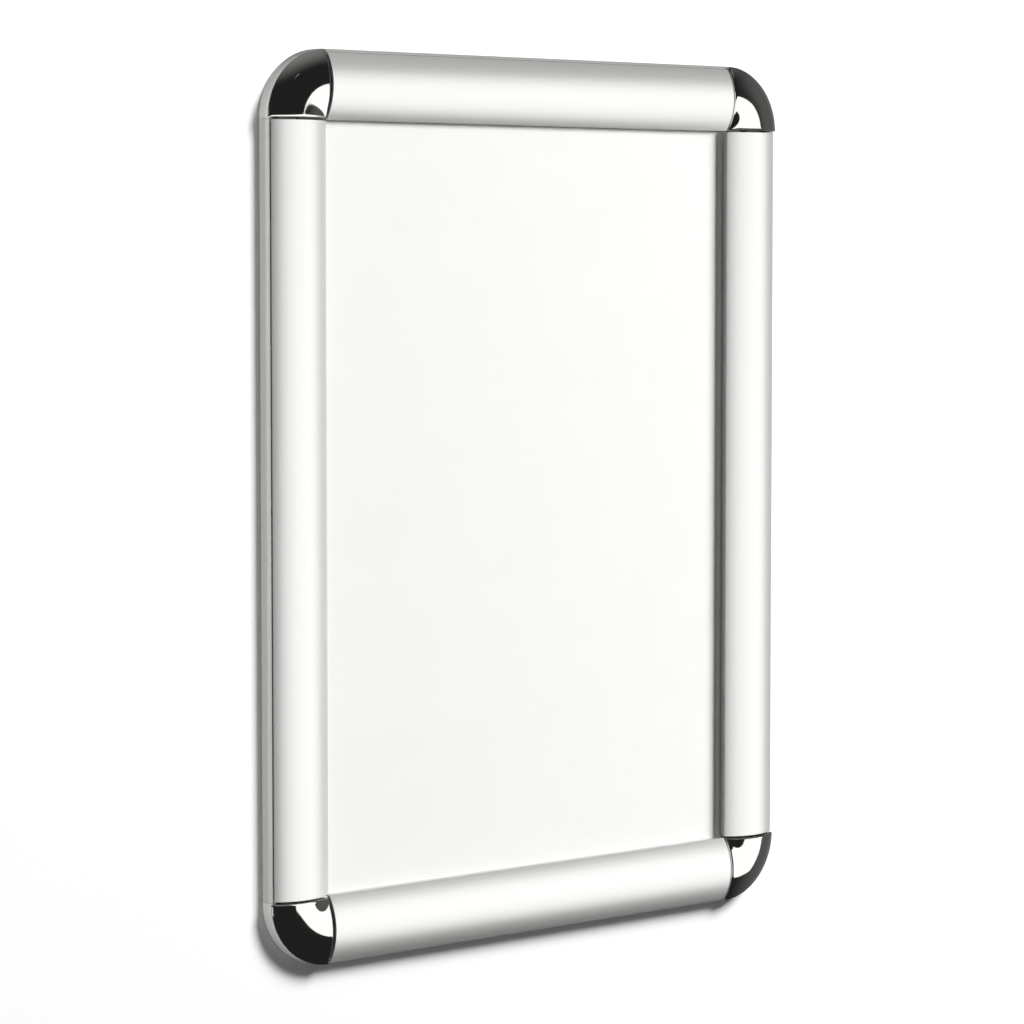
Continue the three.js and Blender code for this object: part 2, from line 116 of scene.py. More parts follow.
# The shares of a cap's full rounding that are left at its outer edge and at its tip.
OUTER_EDGE_ROUND = 0.25
TIP_ROUND = 0.3

# How deep the soft rim of a screw's head reaches, as a multiple of the head's sink.
HEAD_RIM = 1.6

# The least length that a vector is divided by, and the least value of 1 + the cosine of a corner's turn, so
# that the point of a very sharp corner moves no further than it has room for.
LEAST_LENGTH = 1e-12
LEAST_SPREAD = 0.4

# A share of the way along a leaf, from its seat to its tip. A point there is worked out, but nothing bends
# the leaf with the lid.
BEND_START = 0.35

# The number and the direction of a side's two ends.
ENDS = ((1, -1), (2, 1))

SIDES = {
    "left": Vector((1, 0, 0)),
    "right": Vector((-1, 0, 0)),
    "top": Vector((0, 0, -1)),
    "bottom": Vector((0, 0, 1)),
}
CORNERS = {
    "top_right": (Vector((1, 0, 0)), Vector((0, 0, 1))),
    "top_left": (Vector((0, 0, 1)), Vector((-1, 0, 0))),
    "bottom_left": (Vector((-1, 0, 0)), Vector((0, 0, -1))),
    "bottom_right": (Vector((0, 0, -1)), Vector((1, 0, 0))),
}
FRONT = Vector((0, -1, 0))


# Sizes and colours


def size(name, description, millimetres):
    """A length that a user can change."""
    return FloatProperty(name=name, description=description, default=millimetres * MM, min=0, precision=5,
                         unit="LENGTH")


def colour(name, description, value):
    """A colour that a user can change."""
    return FloatVectorProperty(name=name, description=description, default=value, size=3, min=0, max=1,
                               subtype="COLOR")


class SheetSizes(PropertyGroup):
    """The back panel, the insert and the cover."""

    width: size("Width", "Width of each sheet", 210)
    height: size("Height", "Height of each sheet", 297)
    grip: size("Grip", "How far each edge reaches under a lid", 10)
    play: size("Play", "Room between a sheet's edge and the rail's rib", 0.6)
    gap: size("Gap", "Air between one sheet and the next", 0.03)
    panel: size("Back panel", "Thickness of the back panel", 0.8)
    paper: size("Insert", "Thickness of the insert", 0.12)
    cover: size("Cover", "Thickness of the clear cover", 0.4)
    corner: size("Corner", "Radius of the cut sheets' corners", 1.0)


class RailSizes(PropertyGroup):
    """The base rails."""

    width: size("Width", "Outer edge to the opening", 25)
    web: size("Web", "Thickness of the flat web", 1.0)
    web_setback: size("Web setback", "How far the web stops short of the opening", 0.5)
    socket_lift: size("Socket lift", "Web to the underside of the socket", 0.25)
    socket: size("Socket", "Inside radius of the hinge socket", 1.25)
    socket_wall: size("Socket wall", "Thickness of the hinge socket", 0.7)
    rib: size("Rib", "Thickness of the hooked rib", 1.0)
    rib_rise: size("Rib rise", "Height of the hooked rib over the web", 3.0)
    hook: size("Hook", "Thickness of the rib's hook", 0.8)
    hook_reach: size("Hook reach", "How far the hook overhangs", 1.2)
    edge_round: size("Edge round", "Softening of the extruded edges", 0.12)
    end_gap: size("End gap", "Gap between a rail and its connector's rim", 0.15)


class LidSizes(PropertyGroup):
    """The snap lids."""

    radius: size("Arch radius", "Radius of the arched outside", 19.15)
    wall: size("Wall", "Thickness of the arch", 1.1)
    edge: size("Outer edge", "Thickness of the arch at its outer edge", 0.22)
    lip: size("Lip", "Thickness of the lip on the cover", 1.2)
    lip_height: size("Lip height", "Height of the lip", 2.54)
    lip_gap: size("Lip gap", "Air between the lip and the cover", 0.05)
    lip_round: size("Lip round", "Softening of the lip's edges", 0.35)
    bead_gap: size("Bead gap", "Air between the hinge bead and its socket", 0.25)
    pocket_gap: size("Pocket gap", "Air between the lid and the socket's outside", 0.25)
    foot_reach: size("Foot reach", "Hinge to the inside of the foot", 3.85)
    foot_lift: size("Foot lift", "Web to the underside of the foot", 1.33)
    foot_bevel: size("Foot bevel", "Bevel of the foot", 0.45)
    groove: size("Groove", "Hinge to the bottom of the springs' groove", 2.02)
    groove_lip: size("Groove lip", "Depth of the springs' groove", 0.13)
    end_gap: size("End gap", "Lid's end to the corner line", 0.4)
    saw_round: size("Sawn edge", "Softening of the sawn ends", 0.07)


class SpringSizes(PropertyGroup):
    """The leaf springs."""

    thickness: size("Thickness", "Thickness of a leaf", 0.4)
    width: size("Width", "Width of a leaf along the rail", 20)
    bow: size("Bow", "Bow of a leaf towards the wall", 0.55)
    gap: size("Gap", "Air at each end of a leaf", 0.15)
    setback: size("Setback", "Rail's end to the middle of a leaf", 50)


class CornerSizes(PropertyGroup):
    """The connectors and the chromed caps."""

    rim: size("Rim", "Thickness of the connector's rim", 2.3)
    leg: size("Leg", "How far each leg reaches into a rail", 22)
    leg_gap: size("Leg gap", "Air on each side of a leg", 0.3)
    leg_lift: size("Leg lift", "Air under a leg", 0.05)
    leg_headroom: size("Leg headroom", "Air between a leg and the hook", 0.25)
    cap_gap: size("Cap gap", "Cap's end to the corner line", 0.35)
    cap_wall: size("Cap wall", "Thickness of the cap's dome", 1.4)
    cap_end: size("Cap end", "Thickness of the cap's ends", 1.2)
    cap_round: size("Cap round", "Rounding of the cap's end edges", 1.0)
    cap_edge: size("Cap edge", "Thickness of the cap's arch at its outer edge", 0.25)
    cap_setback: size("Cap setback", "How far the cap's edge stops short of the rim's outside", 0.15)
    crown_drop: size("Crown drop", "How far the cap's crown lies under the lids'", 0.02)
    skirt: size("Skirt", "Thickness of the cap's skirt", 1.2)
    skirt_gap: size("Skirt gap", "Air between the skirt and the rim", 0.3)
    edge_lift: size("Edge lift", "Air between the cap's edge and the rim", 0.26)
    floor_gap: size("Floor gap", "Air between the cap and the connector's key", 0.15)
    tip: size("Tip", "Radius of the cap's tip on the cover", 1.5)
    core: size("Core", "Radius of the solid core at the tip", 3.0)
    boss: size("Boss", "Radius of the screw's boss", 2.6)
    boss_distance: size("Boss distance", "Opening's corner to the boss", 18)
    bore_roof: size("Bore roof", "Plastic left over the bore", 0.5)


class ScrewSizes(PropertyGroup):
    """The screws and their holes."""

    radius: size("Radius", "Outside radius of the thread", 1.1)
    head: size("Head", "Radius of the countersunk head", 2.2)
    sink: size("Sink", "How far the head lies under the back", 0.05)
    gap: size("Gap", "Air round the screw", 0.25)
    tip: size("Tip", "Air over the screw's point", 0.15)
    thread: size("Thread", "Depth of the thread", 0.22)
    pitch: size("Pitch", "Rise of the thread in one turn", 0.8)
    recess: size("Recess", "Length of each arm of the cross recess", 2.2)
    recess_width: size("Recess width", "Width of each arm of the cross recess", 0.5)
    recess_depth: size("Recess depth", "Depth of the cross recess", 0.5)
    leg_setback: size("Leg setback", "Rail's end to its screw", 12)
    wall_hole: size("Wall hole", "Radius of the hole for a wall screw", 2.25)
    wall_hole_sink: size("Wall hole sink", "Width of that hole's countersink", 0.9)
    wall_hole_setback: size("Wall hole setback", "Rail's end to the hole for a wall screw", 35)


class Colours(PropertyGroup):
    """The finishes' base colours."""

    lid: colour("Lids", "Satin silver anodising", (0.81, 0.81, 0.795))
    rail: colour("Rails", "Anodising of the base rails", (0.42, 0.418, 0.405))
    connector: colour("Connectors", "Silver-grey moulded plastic", (0.42, 0.418, 0.405))
    chrome: colour("Caps", "Chrome plating", (0.68, 0.665, 0.645))
    zinc: colour("Screws", "Zinc plating", (0.70, 0.70, 0.66))
    steel: colour("Springs", "Spring steel", (0.34, 0.35, 0.37))
    panel: colour("Back panel", "White plastic sheet", (0.86, 0.86, 0.85))
    paper: colour("Insert", "White paper", (0.94, 0.94, 0.93))
    stage: colour("Stage", "Wall and floor", (0.90, 0.90, 0.90))


class SnapFrame(PropertyGroup):
    """Every size and colour of the frame."""

    sheets: PointerProperty(type=SheetSizes)
    rails: PointerProperty(type=RailSizes)
    lids: PointerProperty(type=LidSizes)
    springs: PointerProperty(type=SpringSizes)
    corners: PointerProperty(type=CornerSizes)
    screws: PointerProperty(type=ScrewSizes)
    colours: PointerProperty(type=Colours)


# Plane geometry


def polar(centre, radius, degrees):
    """Points at a distance and angles, in degrees, from a centre."""
    angle = np.radians(degrees)
    return np.stack([centre[0] + radius * np.cos(angle), centre[1] + radius * np.sin(angle)], -1)


def arc(centre, radius, first, last, steps):
    """Points along an arc from one angle to another, both ends included."""
    return polar(centre, radius, np.linspace(first, last, steps + 1))


def joined(*runs):
    """One closed outline from runs of points, anticlockwise, with no point twice in a row."""
    points = np.concatenate([np.atleast_2d(np.asarray(run, float)) for run in runs])
    away = np.linalg.norm(points - np.roll(points, 1, axis=0), axis=1)
    points = points[away > SAME_POINT]
    after = np.roll(points, -1, axis=0)
    area = np.sum(points[:, 0] * after[:, 1] - after[:, 0] * points[:, 1])
    return points if area > 0 else points[::-1]


def unit(vectors):
    """Each vector at length 1."""
    return vectors / np.maximum(np.linalg.norm(vectors, axis=-1, keepdims=True), LEAST_LENGTH)


def softened(outline, reach):
    """An outline with each corner that turns sharply replaced by a curve.

    The curve is the quadratic (1 - t)^2 a + 2t(1 - t) c + t^2 b, with c the corner and a and b on its two
    edges, a reach away from it or at most EDGE_SHARE of the edge.
    """
    before = np.roll(outline, 1, axis=0) - outline
    after = np.roll(outline, -1, axis=0) - outline
    turn = np.degrees(np.arccos(np.clip(np.sum(-unit(before) * unit(after), axis=1), -1, 1)))
    shorter = np.minimum(np.linalg.norm(before, axis=1), np.linalg.norm(after, axis=1))
    used = np.where(turn > LEAST_TURN, np.minimum(reach, EDGE_SHARE * shorter), 0)[:, None]
    t = np.linspace(0, 1, ROUND_STEPS + 1)[None, :, None]
    a = (outline + unit(before) * used)[:, None]
    b = (outline + unit(after) * used)[:, None]
    curve = (1 - t) ** 2 * a + 2 * t * (1 - t) * outline[:, None] + t ** 2 * b
    return joined(curve.reshape(-1, 2))


def bisectors(outline):
    """How far each point of an anticlockwise outline moves, as a vector, for its edges to move in by 1."""
    edge = unit(np.roll(outline, -1, axis=0) - outline)
    inward = np.stack([-edge[:, 1], edge[:, 0]], -1)
    earlier = np.roll(inward, 1, axis=0)
    spread = np.maximum(1 + np.sum(inward * earlier, axis=1), LEAST_SPREAD)
    return (inward + earlier) / spread[:, None]


# Surfaces


def new_piece(name, points, faces):
    """A mesh object at the origin."""
    mesh = bpy.data.meshes.new(name)
    mesh.from_pydata(points.tolist(), [], faces)
    mesh.update()
    piece = bpy.data.objects.new(name, mesh)
    bpy.context.scene.collection.objects.link(piece)
    return piece


def closed_piece(name, rings, wrapped=False):
    """A closed surface through rings of points, an array of ring, point, (x, y, z).

    Each ring closes on itself. The first and last rings are filled flat, or joined to each other when the
    rings are wrapped. Points that fall together, as on a turned shape's axis, are merged, and the faces are
    turned outwards by the sign of the volume.
    """
    count, points = rings.shape[:2]
    k, i = np.meshgrid(np.arange(count if wrapped else count - 1), np.arange(points), indexing="ij")
    k_next, i_next = (k + 1) % count, (i + 1) % points
    quads = np.stack([k * points + i, k * points + i_next, k_next * points + i_next, k_next * points + i], -1)
    faces = quads.reshape(-1, 4).tolist()
    if not wrapped:
        faces.append(list(range(points))[::-1])
        faces.append(list(range((count - 1) * points, count * points)))
    piece = new_piece(name, rings.reshape(-1, 3), faces)
    tidied(piece)
    return piece


def tidied(piece):
    """Merges doubles, drops faces with no area, turns faces outwards and shades each face by its own size.

    Sharp edges are marked, and every other normal is the mean of its faces' normals weighted by their areas,
    so wide flats stay flat beside narrow rounds.
    """
    shape = bmesh.new()
    shape.from_mesh(piece.data)
    bmesh.ops.remove_doubles(shape, verts=shape.verts, dist=SAME_POINT)
    bmesh.ops.dissolve_degenerate(shape, edges=shape.edges, dist=SAME_POINT / 10)
    if shape.calc_volume(signed=True) < 0:
        bmesh.ops.reverse_faces(shape, faces=shape.faces)
    for face in shape.faces:
        face.smooth = True
    shape.to_mesh(piece.data)
    shape.free()
    piece.data.set_sharp_from_angle(angle=np.radians(SHARP_ANGLE))
    weighting = piece.modifiers.new("flats", "WEIGHTED_NORMAL")
    weighting.weight = 100
    weighting.keep_sharp = True
    baked(piece)


def baked(piece):
    """piece with its modifiers applied to its mesh."""
    graph = bpy.context.evaluated_depsgraph_get()
    result = bpy.data.meshes.new_from_object(piece.evaluated_get(graph))
    piece.modifiers.clear()
    piece.data = result
    return piece


def drawn(name, outline, length, reach=0.0):
    """An outline carried along a straight length, centred on it, with its end edges rounded.

    Ring k is the outline moved in by reach * (1 - sin f) at reach * (1 - cos f) from the end, f being an
    angle from 0 to a right angle.
    """
    angle = np.linspace(0, np.pi / 2, ROUND_STEPS) if reach else np.array([np.pi / 2])
    inset = reach * (1 - np.sin(angle))
    away = length / 2 - reach * (1 - np.cos(angle))
    inset = np.concatenate([inset, inset[::-1]])
    along = np.concatenate([-away, away[::-1]])
    flat = outline[None] + inset[:, None, None] * bisectors(outline)[None]
    height = np.broadcast_to(along[:, None, None], (len(along), len(outline), 1))
    return closed_piece(name, np.concatenate([flat, height], -1))


def quarter_turned(name, outline, setback, steps, reach=0.0, sunk=None):
    """A closed outline of (radius, height) turned through the quarter between the two corner lines.

    A point at radius r runs from the angle asin(d / r) to a right angle less that, so each end is flat at d
    from its line. Towards an end a point goes in along its bisector by R * (1 - sin f) at
    d = setback + R * (1 - cos f), which rounds the end's edge. R is the reach times the point's share in
    sunk.
    """
    angle = np.linspace(0, np.pi / 2, 2 * ROUND_STEPS) if reach else np.array([np.pi / 2])
    share = np.linspace(0, 1, steps + 1)[1:-1]
    angles = np.concatenate([angle, np.full(len(share), np.pi / 2), angle[::-1]])[:, None]
    shares = np.concatenate([np.zeros(len(angle)), share, np.ones(len(angle))])
    curve = reach * (np.ones(len(outline)) if sunk is None else sunk)
    loops = outline[None] + (curve * (1 - np.sin(angles)))[..., None] * bisectors(outline)[None]
    aways = setback + curve * (1 - np.cos(angles))
    radius = np.maximum(loops[..., 0], aways * np.sqrt(2))
    trim = np.arcsin(aways / radius)
    turn = trim + (np.pi / 2 - 2 * trim) * shares[:, None]
    rings = np.stack([radius * np.cos(turn), radius * np.sin(turn), loops[..., 1]], -1)
    return closed_piece(name, rings)


def turned(name, profile, ripple=None):
    """A profile of (radius, height), from axis to axis, turned fully about the height axis.

    ripple gives the change of radius at (angle, point), such as a thread.
    """
    angle = np.linspace(0, 2 * np.pi, SCREW_STEPS, endpoint=False)
    radius = np.broadcast_to(profile[:, 0], (SCREW_STEPS, len(profile))).copy()
    if ripple is not None:
        radius += ripple(angle[:, None])
    height = np.broadcast_to(profile[:, 1], radius.shape)
    rings = np.stack([radius * np.cos(angle[:, None]), radius * np.sin(angle[:, None]), height], -1)
    return closed_piece(name, rings, wrapped=True)


def block(name, low, high, reach=0.0):
    """A box between two corners, with its upright edges softened."""
    outline = joined([(low[0], low[1]), (high[0], low[1]), (high[0], high[1]), (low[0], high[1])])
    if reach:
        outline = softened(outline, reach)
    piece = drawn(name, outline, high[2] - low[2])
    piece.data.transform(Matrix.Translation((0, 0, (low[2] + high[2]) / 2)))
    return piece


def combined(body, tool, operation):
    """body with tool joined to it, taken from it or shared with it, by an exact Boolean applied at once."""
    change = body.modifiers.new("combine", "BOOLEAN")
    change.operation = operation
    change.solver = "EXACT"
    change.object = tool
    baked(body)
    bpy.data.objects.remove(tool)
    return body


def moved(piece, matrix):
    """piece with its place in its mesh."""
    piece.data.transform(matrix)
    return piece


def copied(template, name, matrix):
    """A copy of a template with its own mesh, put in place by a turn and a shift."""
    piece = bpy.data.objects.new(name, template.data.copy())
    bpy.context.scene.collection.objects.link(piece)
    return moved(piece, matrix)


def lit_set(name):
    """The collection of the pieces that a light of this name's set serves."""
    return bpy.data.collections.get(name) or bpy.data.collections.new(name)


def finished(piece, body, nodes, slot, material):
    """piece rides on a body, stands for its nodes, takes its finish and joins its lights' sets."""
    lit_set("every_piece").objects.link(piece)
    for name in LIT_WITH.get(slot, ()):
        lit_set(name).objects.link(piece)
    if slot == "cap_chrome":
        lit_set(nodes[0]).objects.link(piece)
    piece.data.materials.clear()
    piece.data.materials.append(material)
    if body:
        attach(piece, body)
    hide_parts(*nodes)
    return piece


def basis(x_axis, y_axis, z_axis, origin):
    """The matrix that takes a drawing's axes to these."""
    turn = Matrix((x_axis, y_axis, z_axis)).transposed().to_4x4()
    turn.translation = origin
    return turn


# The frame's own sections


class Layout:
    """The points and lengths that several pieces share, worked out from the sizes."""

    def __init__(self, context):
        chosen = context.scene.snap_frame
        self.sheets, self.rails, self.lids = chosen.sheets, chosen.rails, chosen.lids
        self.springs, self.corners, self.screws = chosen.springs, chosen.corners, chosen.screws
        sheets, rails, lids, corners = self.sheets, self.rails, self.lids, self.corners
        self.opening = (sheets.width - 2 * sheets.grip, sheets.height - 2 * sheets.grip)
        self.socket_outside = rails.socket + rails.socket_wall
        self.hinge = np.array([self.socket_outside, rails.web + rails.socket_lift + self.socket_outside])
        self.pocket = self.socket_outside + lids.pocket_gap
        self.rib_inner = rails.width - sheets.grip - sheets.play
        self.rib_outer = self.rib_inner - rails.rib
        self.rib_top = rails.web + rails.rib_rise
        self.hook_underside = self.rib_top - rails.hook
        self.panel_back = rails.web + sheets.gap
        self.paper_back = self.panel_back + sheets.panel + sheets.gap
        self.cover_back = self.paper_back + sheets.paper + sheets.gap
        self.lip_bottom = self.cover_back + sheets.cover + lids.lip_gap
        self.inner_edge = np.array([rails.width, self.lip_bottom + lids.lip_height])
        self.outer_edge = polar(self.hinge, self.pocket + lids.edge, LID_EDGE_ANGLE)
        self.arc_centre = self.arch_centre(self.outer_edge, lids.radius)
        self.cap_under = polar(self.hinge, self.socket_outside, SOCKET_UPPER_TIP)[1] + corners.edge_lift
        self.cap_edge = np.array([corners.cap_setback, self.cap_under + corners.cap_edge])
        crown = self.arc_centre[1] + lids.radius - corners.crown_drop
        rise = crown - (self.cap_edge[1] + self.inner_edge[1]) / 2
        chord = self.inner_edge - self.cap_edge
        self.cap_radius = (chord @ chord / 4 + rise ** 2) / (2 * rise)
        self.cap_centre = self.arch_centre(self.cap_edge, self.cap_radius)
        self.foot_inside = self.hinge[0] + lids.foot_reach
        self.leg_outer = self.foot_inside + corners.leg_gap
        self.leg_inner = self.rib_outer - corners.leg_gap
        self.leg_middle = (self.leg_outer + self.leg_inner) / 2
        self.leg_bottom = rails.web + corners.leg_lift
        self.leg_top = self.hook_underside - corners.leg_headroom
        from_centre = rails.width - corners.boss_distance - self.cap_centre[0]
        inside = self.cap_radius - corners.cap_wall
        self.cap_roof = self.cap_centre[1] + np.sqrt(inside ** 2 - from_centre ** 2)
        self.boss = corners.boss_distance / np.sqrt(2)

    def arch_centre(self, outer, radius):
        """The centre of the arch of a radius from its outer edge to the lids' and caps' inner edge."""
        chord = self.inner_edge - outer
        across = unit(np.array([chord[1], -chord[0]]))
        return (outer + self.inner_edge) / 2 + across * np.sqrt(radius ** 2 - chord @ chord / 4)

    def arch(self, centre, radius, first, last, steps=LID_STEPS):
        """Points along an arch from one u to another."""
        ends = np.degrees(np.arccos((np.array([first, last]) - centre[0]) / radius))
        return arc(centre, radius, *ends, steps)

    def side(self, name):
        """The length of a side's opening, and the matrix that puts its drawing in place."""
        inward = SIDES[name]
        upright = inward.x != 0
        span, length = self.opening if upright else self.opening[::-1]
        return length, basis(inward, FRONT, inward.cross(FRONT), -inward * (span / 2 + self.rails.width))

    def corner(self, name):
        """The matrix that puts a corner's drawing in place."""
        across, up = CORNERS[name]
        out = across + up
        return basis(across, up, FRONT, Vector((out.x * self.opening[0], 0, out.z * self.opening[1])) / 2)

    def radial(self, points):
        """Points of a section, with u turned into a radius about the opening's corner."""
        points = np.atleast_2d(points)
        return np.stack([self.rails.width - points[:, 0], points[:, 1]], -1)

    def outer_wall(self):
        """Up the rail's outer wall and round the socket to its upper tip."""
        return np.concatenate([
            [(0, 0)],
            arc(self.hinge, self.socket_outside, 180, SOCKET_UPPER_TIP, SOCKET_STEPS // 2),
        ])

    def base_outline(self):
        """The base rail: a flat web, a hinge socket along its outer edge and a hooked rib."""
        rails = self.rails
        web_end = rails.width - rails.web_setback
        lower_tip = polar(self.hinge, self.socket_outside, SOCKET_LOWER_TIP)
        hook_tip = self.rib_outer - rails.hook_reach
        return softened(joined(
            self.outer_wall(),
            arc(self.hinge, rails.socket, SOCKET_UPPER_TIP, SOCKET_LOWER_TIP + 360, SOCKET_STEPS),
            [lower_tip, (lower_tip[0], rails.web)],
            [(self.rib_outer, rails.web), (self.rib_outer, self.hook_underside)],
            [(hook_tip, self.hook_underside), (hook_tip, self.rib_top)],
            [(self.rib_inner, self.rib_top), (self.rib_inner, rails.web)],
            [(web_end, rails.web), (web_end, 0)],
        ), rails.edge_round)

    def lid_outline(self):
        """The lid: an arch with a lip on the cover, a foot, and an arm that ends in the hinge bead.

        Its arc is finer than the solids' and is kept under their crown.
        """
        lids, rails = self.lids, self.rails
        lip_outer = rails.width - lids.lip
        groove_edge = polar(self.hinge, lids.groove + lids.groove_lip, ARM_LOWER_ANGLE)
        foot_bottom = rails.web + lids.foot_lift
        bead = rails.socket - lids.bead_gap
        sharp = joined(
            [(lip_outer, self.lip_bottom), (rails.width, self.lip_bottom)],
            self.arch(self.arc_centre, lids.radius, rails.width, self.outer_edge[0]),
            arc(self.hinge, self.pocket, LID_EDGE_ANGLE, ARM_UPPER_ANGLE, SOCKET_STEPS // 2),
            arc(self.hinge, bead, ARM_UPPER_ANGLE, ARM_LOWER_ANGLE + 360, SOCKET_STEPS),
            [groove_edge, polar(self.hinge, lids.groove, GROOVE_ANGLE)],
            [(self.foot_inside - lids.foot_bevel, foot_bottom)],
            [(self.foot_inside, foot_bottom + lids.foot_bevel)],
            self.arch(self.arc_centre, lids.radius - lids.wall, self.foot_inside, lip_outer, LID_STEPS // 2),
        )
        return np.minimum(softened(sharp, lids.lip_round), (np.inf, -solid_box[0][1]))

    def leaf(self):
        """The spring's line: its end in the lid's groove, its end under the hook, and its control point."""
        springs = self.springs
        half = springs.thickness / 2 + springs.gap
        tip = polar(self.hinge, self.lids.groove + half, GROOVE_ANGLE)
        seat = np.array([self.rib_outer - half, self.hook_underside - half])
        return tip, seat, (tip + seat) / 2 - np.array([0, 2 * springs.bow])

    def leaf_outline(self):
        """A strip on each side of the leaf's line, which is (1 - t)^2 tip + 2t(1 - t) middle + t^2 seat."""
        tip, seat, middle = self.leaf()
        t = np.linspace(0, 1, LEAF_STEPS + 1)[:, None]
        line = (1 - t) ** 2 * tip + 2 * t * (1 - t) * middle + t ** 2 * seat
        along = unit(2 * (1 - t) * (middle - tip) + 2 * t * (seat - middle))
        thickness = self.springs.thickness
        across = np.stack([along[:, 1], -along[:, 0]], -1) * thickness / 2
        return softened(joined(line + across, (line - across)[::-1]), thickness * LEAF_EDGE_ROUND)

    def rim_outline(self):
        """The connector's floor and rim, which carry on the rails' outside, as (radius, height)."""
        outside = self.radial(self.outer_wall())
        rim_inner = self.rails.width - self.corners.rim
        return softened(joined(
            [(0, 0)], outside,
            [(rim_inner, outside[-1][1]), (rim_inner, self.rails.web), (0, self.rails.web)],
        ), self.rails.edge_round)

    def cap_outline(self):
        """The cap's outside as (radius, height), and the share of the full rounding that each point gets.

        The share is 1 over most of the dome. It falls to OUTER_EDGE_ROUND at the outer edge and to TIP_ROUND
        at the tip, in proportion to the room there, and is 0 off the dome.
        """
        corners = self.corners
        floor = self.leg_top + corners.floor_gap
        skirt = corners.rim + corners.skirt_gap
        edge_u = self.cap_edge[0]
        outline = joined(
            [(0, self.lip_bottom), (corners.tip, self.lip_bottom), (corners.tip, floor)],
            self.radial([(skirt, floor), (skirt, self.cap_under), (edge_u, self.cap_under)]),
            self.radial(self.arch(self.cap_centre, self.cap_radius, edge_u, self.rails.width)),
        )
        on_dome = outline[:, 1] > self.inner_edge[1] - HAIR
        room = self.rails.width - edge_u - outline[:, 0]
        at_edge = np.clip(room / (2 * corners.cap_round) + OUTER_EDGE_ROUND, 0, 1)
        at_tip = np.clip(outline[:, 0] / (4 * corners.cap_round), TIP_ROUND, 1)
        return outline, on_dome * at_edge * at_tip

    def hollow_outline(self):
        """The cap's hollow, from under its floor to its roof, as (radius, height)."""
        corners, rails = self.corners, self.rails
        inner = rails.width - corners.core
        outer = corners.rim + corners.skirt_gap + corners.skirt
        return joined(
            self.radial([(inner, -OVERCUT), (outer, -OVERCUT)]),
            self.radial(self.arch(self.cap_centre, self.cap_radius - corners.cap_wall, outer, inner,
                                  LID_STEPS // 2)),
        )


# Materials


class Value:
    """A number socket in a material. Arithmetic on it adds Math nodes to that material."""

    def __init__(self, finish, socket):
        self.finish = finish
        self.socket = socket

    def maths(self, operation, first, second):
        return self.finish.node("ShaderNodeMath", {0: first, 1: second}, operation=operation)

    def __add__(self, other):
        return self.maths("ADD", self, other)

    def __radd__(self, other):
        return self.maths("ADD", other, self)

    def __mul__(self, other):
        return self.maths("MULTIPLY", self, other)

    def __rmul__(self, other):
        return self.maths("MULTIPLY", other, self)

    def __pow__(self, other):
        return self.maths("POWER", self, other)


class Finish:
    """A procedural material, or the world, with one method that adds any node."""

    def __init__(self, name, kind="materials"):
        self.owner = getattr(bpy.data, kind).new(name)
        self.owner.use_nodes = True
        self.tree = self.owner.node_tree
        self.tree.nodes.clear()
        self.place = self.node("ShaderNodeTexCoord", output="Object")

    def node(self, kind, sockets=None, output=0, **settings):
        """A node of a kind: its settings first, then its sockets, by name or number, as values or links."""
        made = self.tree.nodes.new(kind)
        for name, value in settings.items():
            setattr(made, name, value)
        for key, value in (sockets or {}).items():
            if isinstance(value, Value):
                self.tree.links.new(value.socket, made.inputs[key])
            else:
                made.inputs[key].default_value = value
        return None if output is None else Value(self, made.outputs[output])

    def drawn_out(self, stretch):
        """Object coordinates, stretched along the axes where stretch is small."""
        return self.node("ShaderNodeMapping", {"Vector": self.place, "Scale": stretch})

    def noise(self, place, per_metre, detail):
        """A noise from 0 to 1, with so many grains to a metre."""
        return self.node("ShaderNodeTexNoise", {"Vector": place, "Scale": per_metre, "Detail": detail})

    def rise(self, value, low, high, top):
        """A number that rises smoothly from 0 to top as a value goes from low to high."""
        sockets = {"Value": value, "From Min": low, "From Max": high, "To Max": top}
        return self.node("ShaderNodeMapRange", sockets, interpolation_type="SMOOTHSTEP")

    def blend(self, factor, first, second):
        """A colour between two, by a factor."""
        return self.node("ShaderNodeMix", {0: factor, 6: first, 7: second}, output=2, data_type="RGBA")

    def bump(self, height, depth):
        """A normal for a height from 0 to 1, so many metres deep."""
        return self.node("ShaderNodeBump", {"Height": height, "Distance": depth, "Strength": 1.0})

    def surface(self, **sockets):
        """The Principled shader, with sockets named as Base_Color."""
        named = {key.replace("_", " "): value for key, value in sockets.items()}
        return self.node("ShaderNodeBsdfPrincipled", named)

    def done(self, shader, output="ShaderNodeOutputMaterial"):
        """The material or world, showing a shader."""
        self.node(output, {"Surface": shader}, output=None)
        return self.owner


def opaque(shade, amount=1.0):
    """A colour with each part scaled, as the four numbers that a socket takes."""
    return tuple(part * amount for part in shade) + (1,)


def anodised(name, shade, stretch, metal, roughness):
    """Satin anodised aluminium: fine lines drawn along the length, a faint cloud and an etched tooth."""
    finish = Finish(name)
    lines = finish.noise(finish.drawn_out(stretch), 2400, detail=3)
    bands = finish.noise(finish.drawn_out(stretch), 330, detail=1)
    tooth = finish.noise(finish.place, 5200, detail=1)
    tone = lines * 0.5 + bands * 0.5
    return finish.done(finish.surface(
        Base_Color=finish.blend(tone, opaque(shade, 0.965), opaque(shade, 1.03)),
        Metallic=metal,
        Roughness=roughness - 0.03 + lines * 0.06,
        Normal=finish.bump(lines * 0.7 + tooth * 0.3, 0.004 * MM),
    ))


def drawn_finishes(name, shade, metal, roughness):
    """The anodising of the upright pieces and that of the level ones, each drawn along its own length."""
    upright = anodised(f"{name}_anodising_upright", shade, (1, 1, 0.003), metal, roughness)
    return upright, anodised(f"{name}_anodising_level", shade, (0.003, 1, 1), metal, roughness)


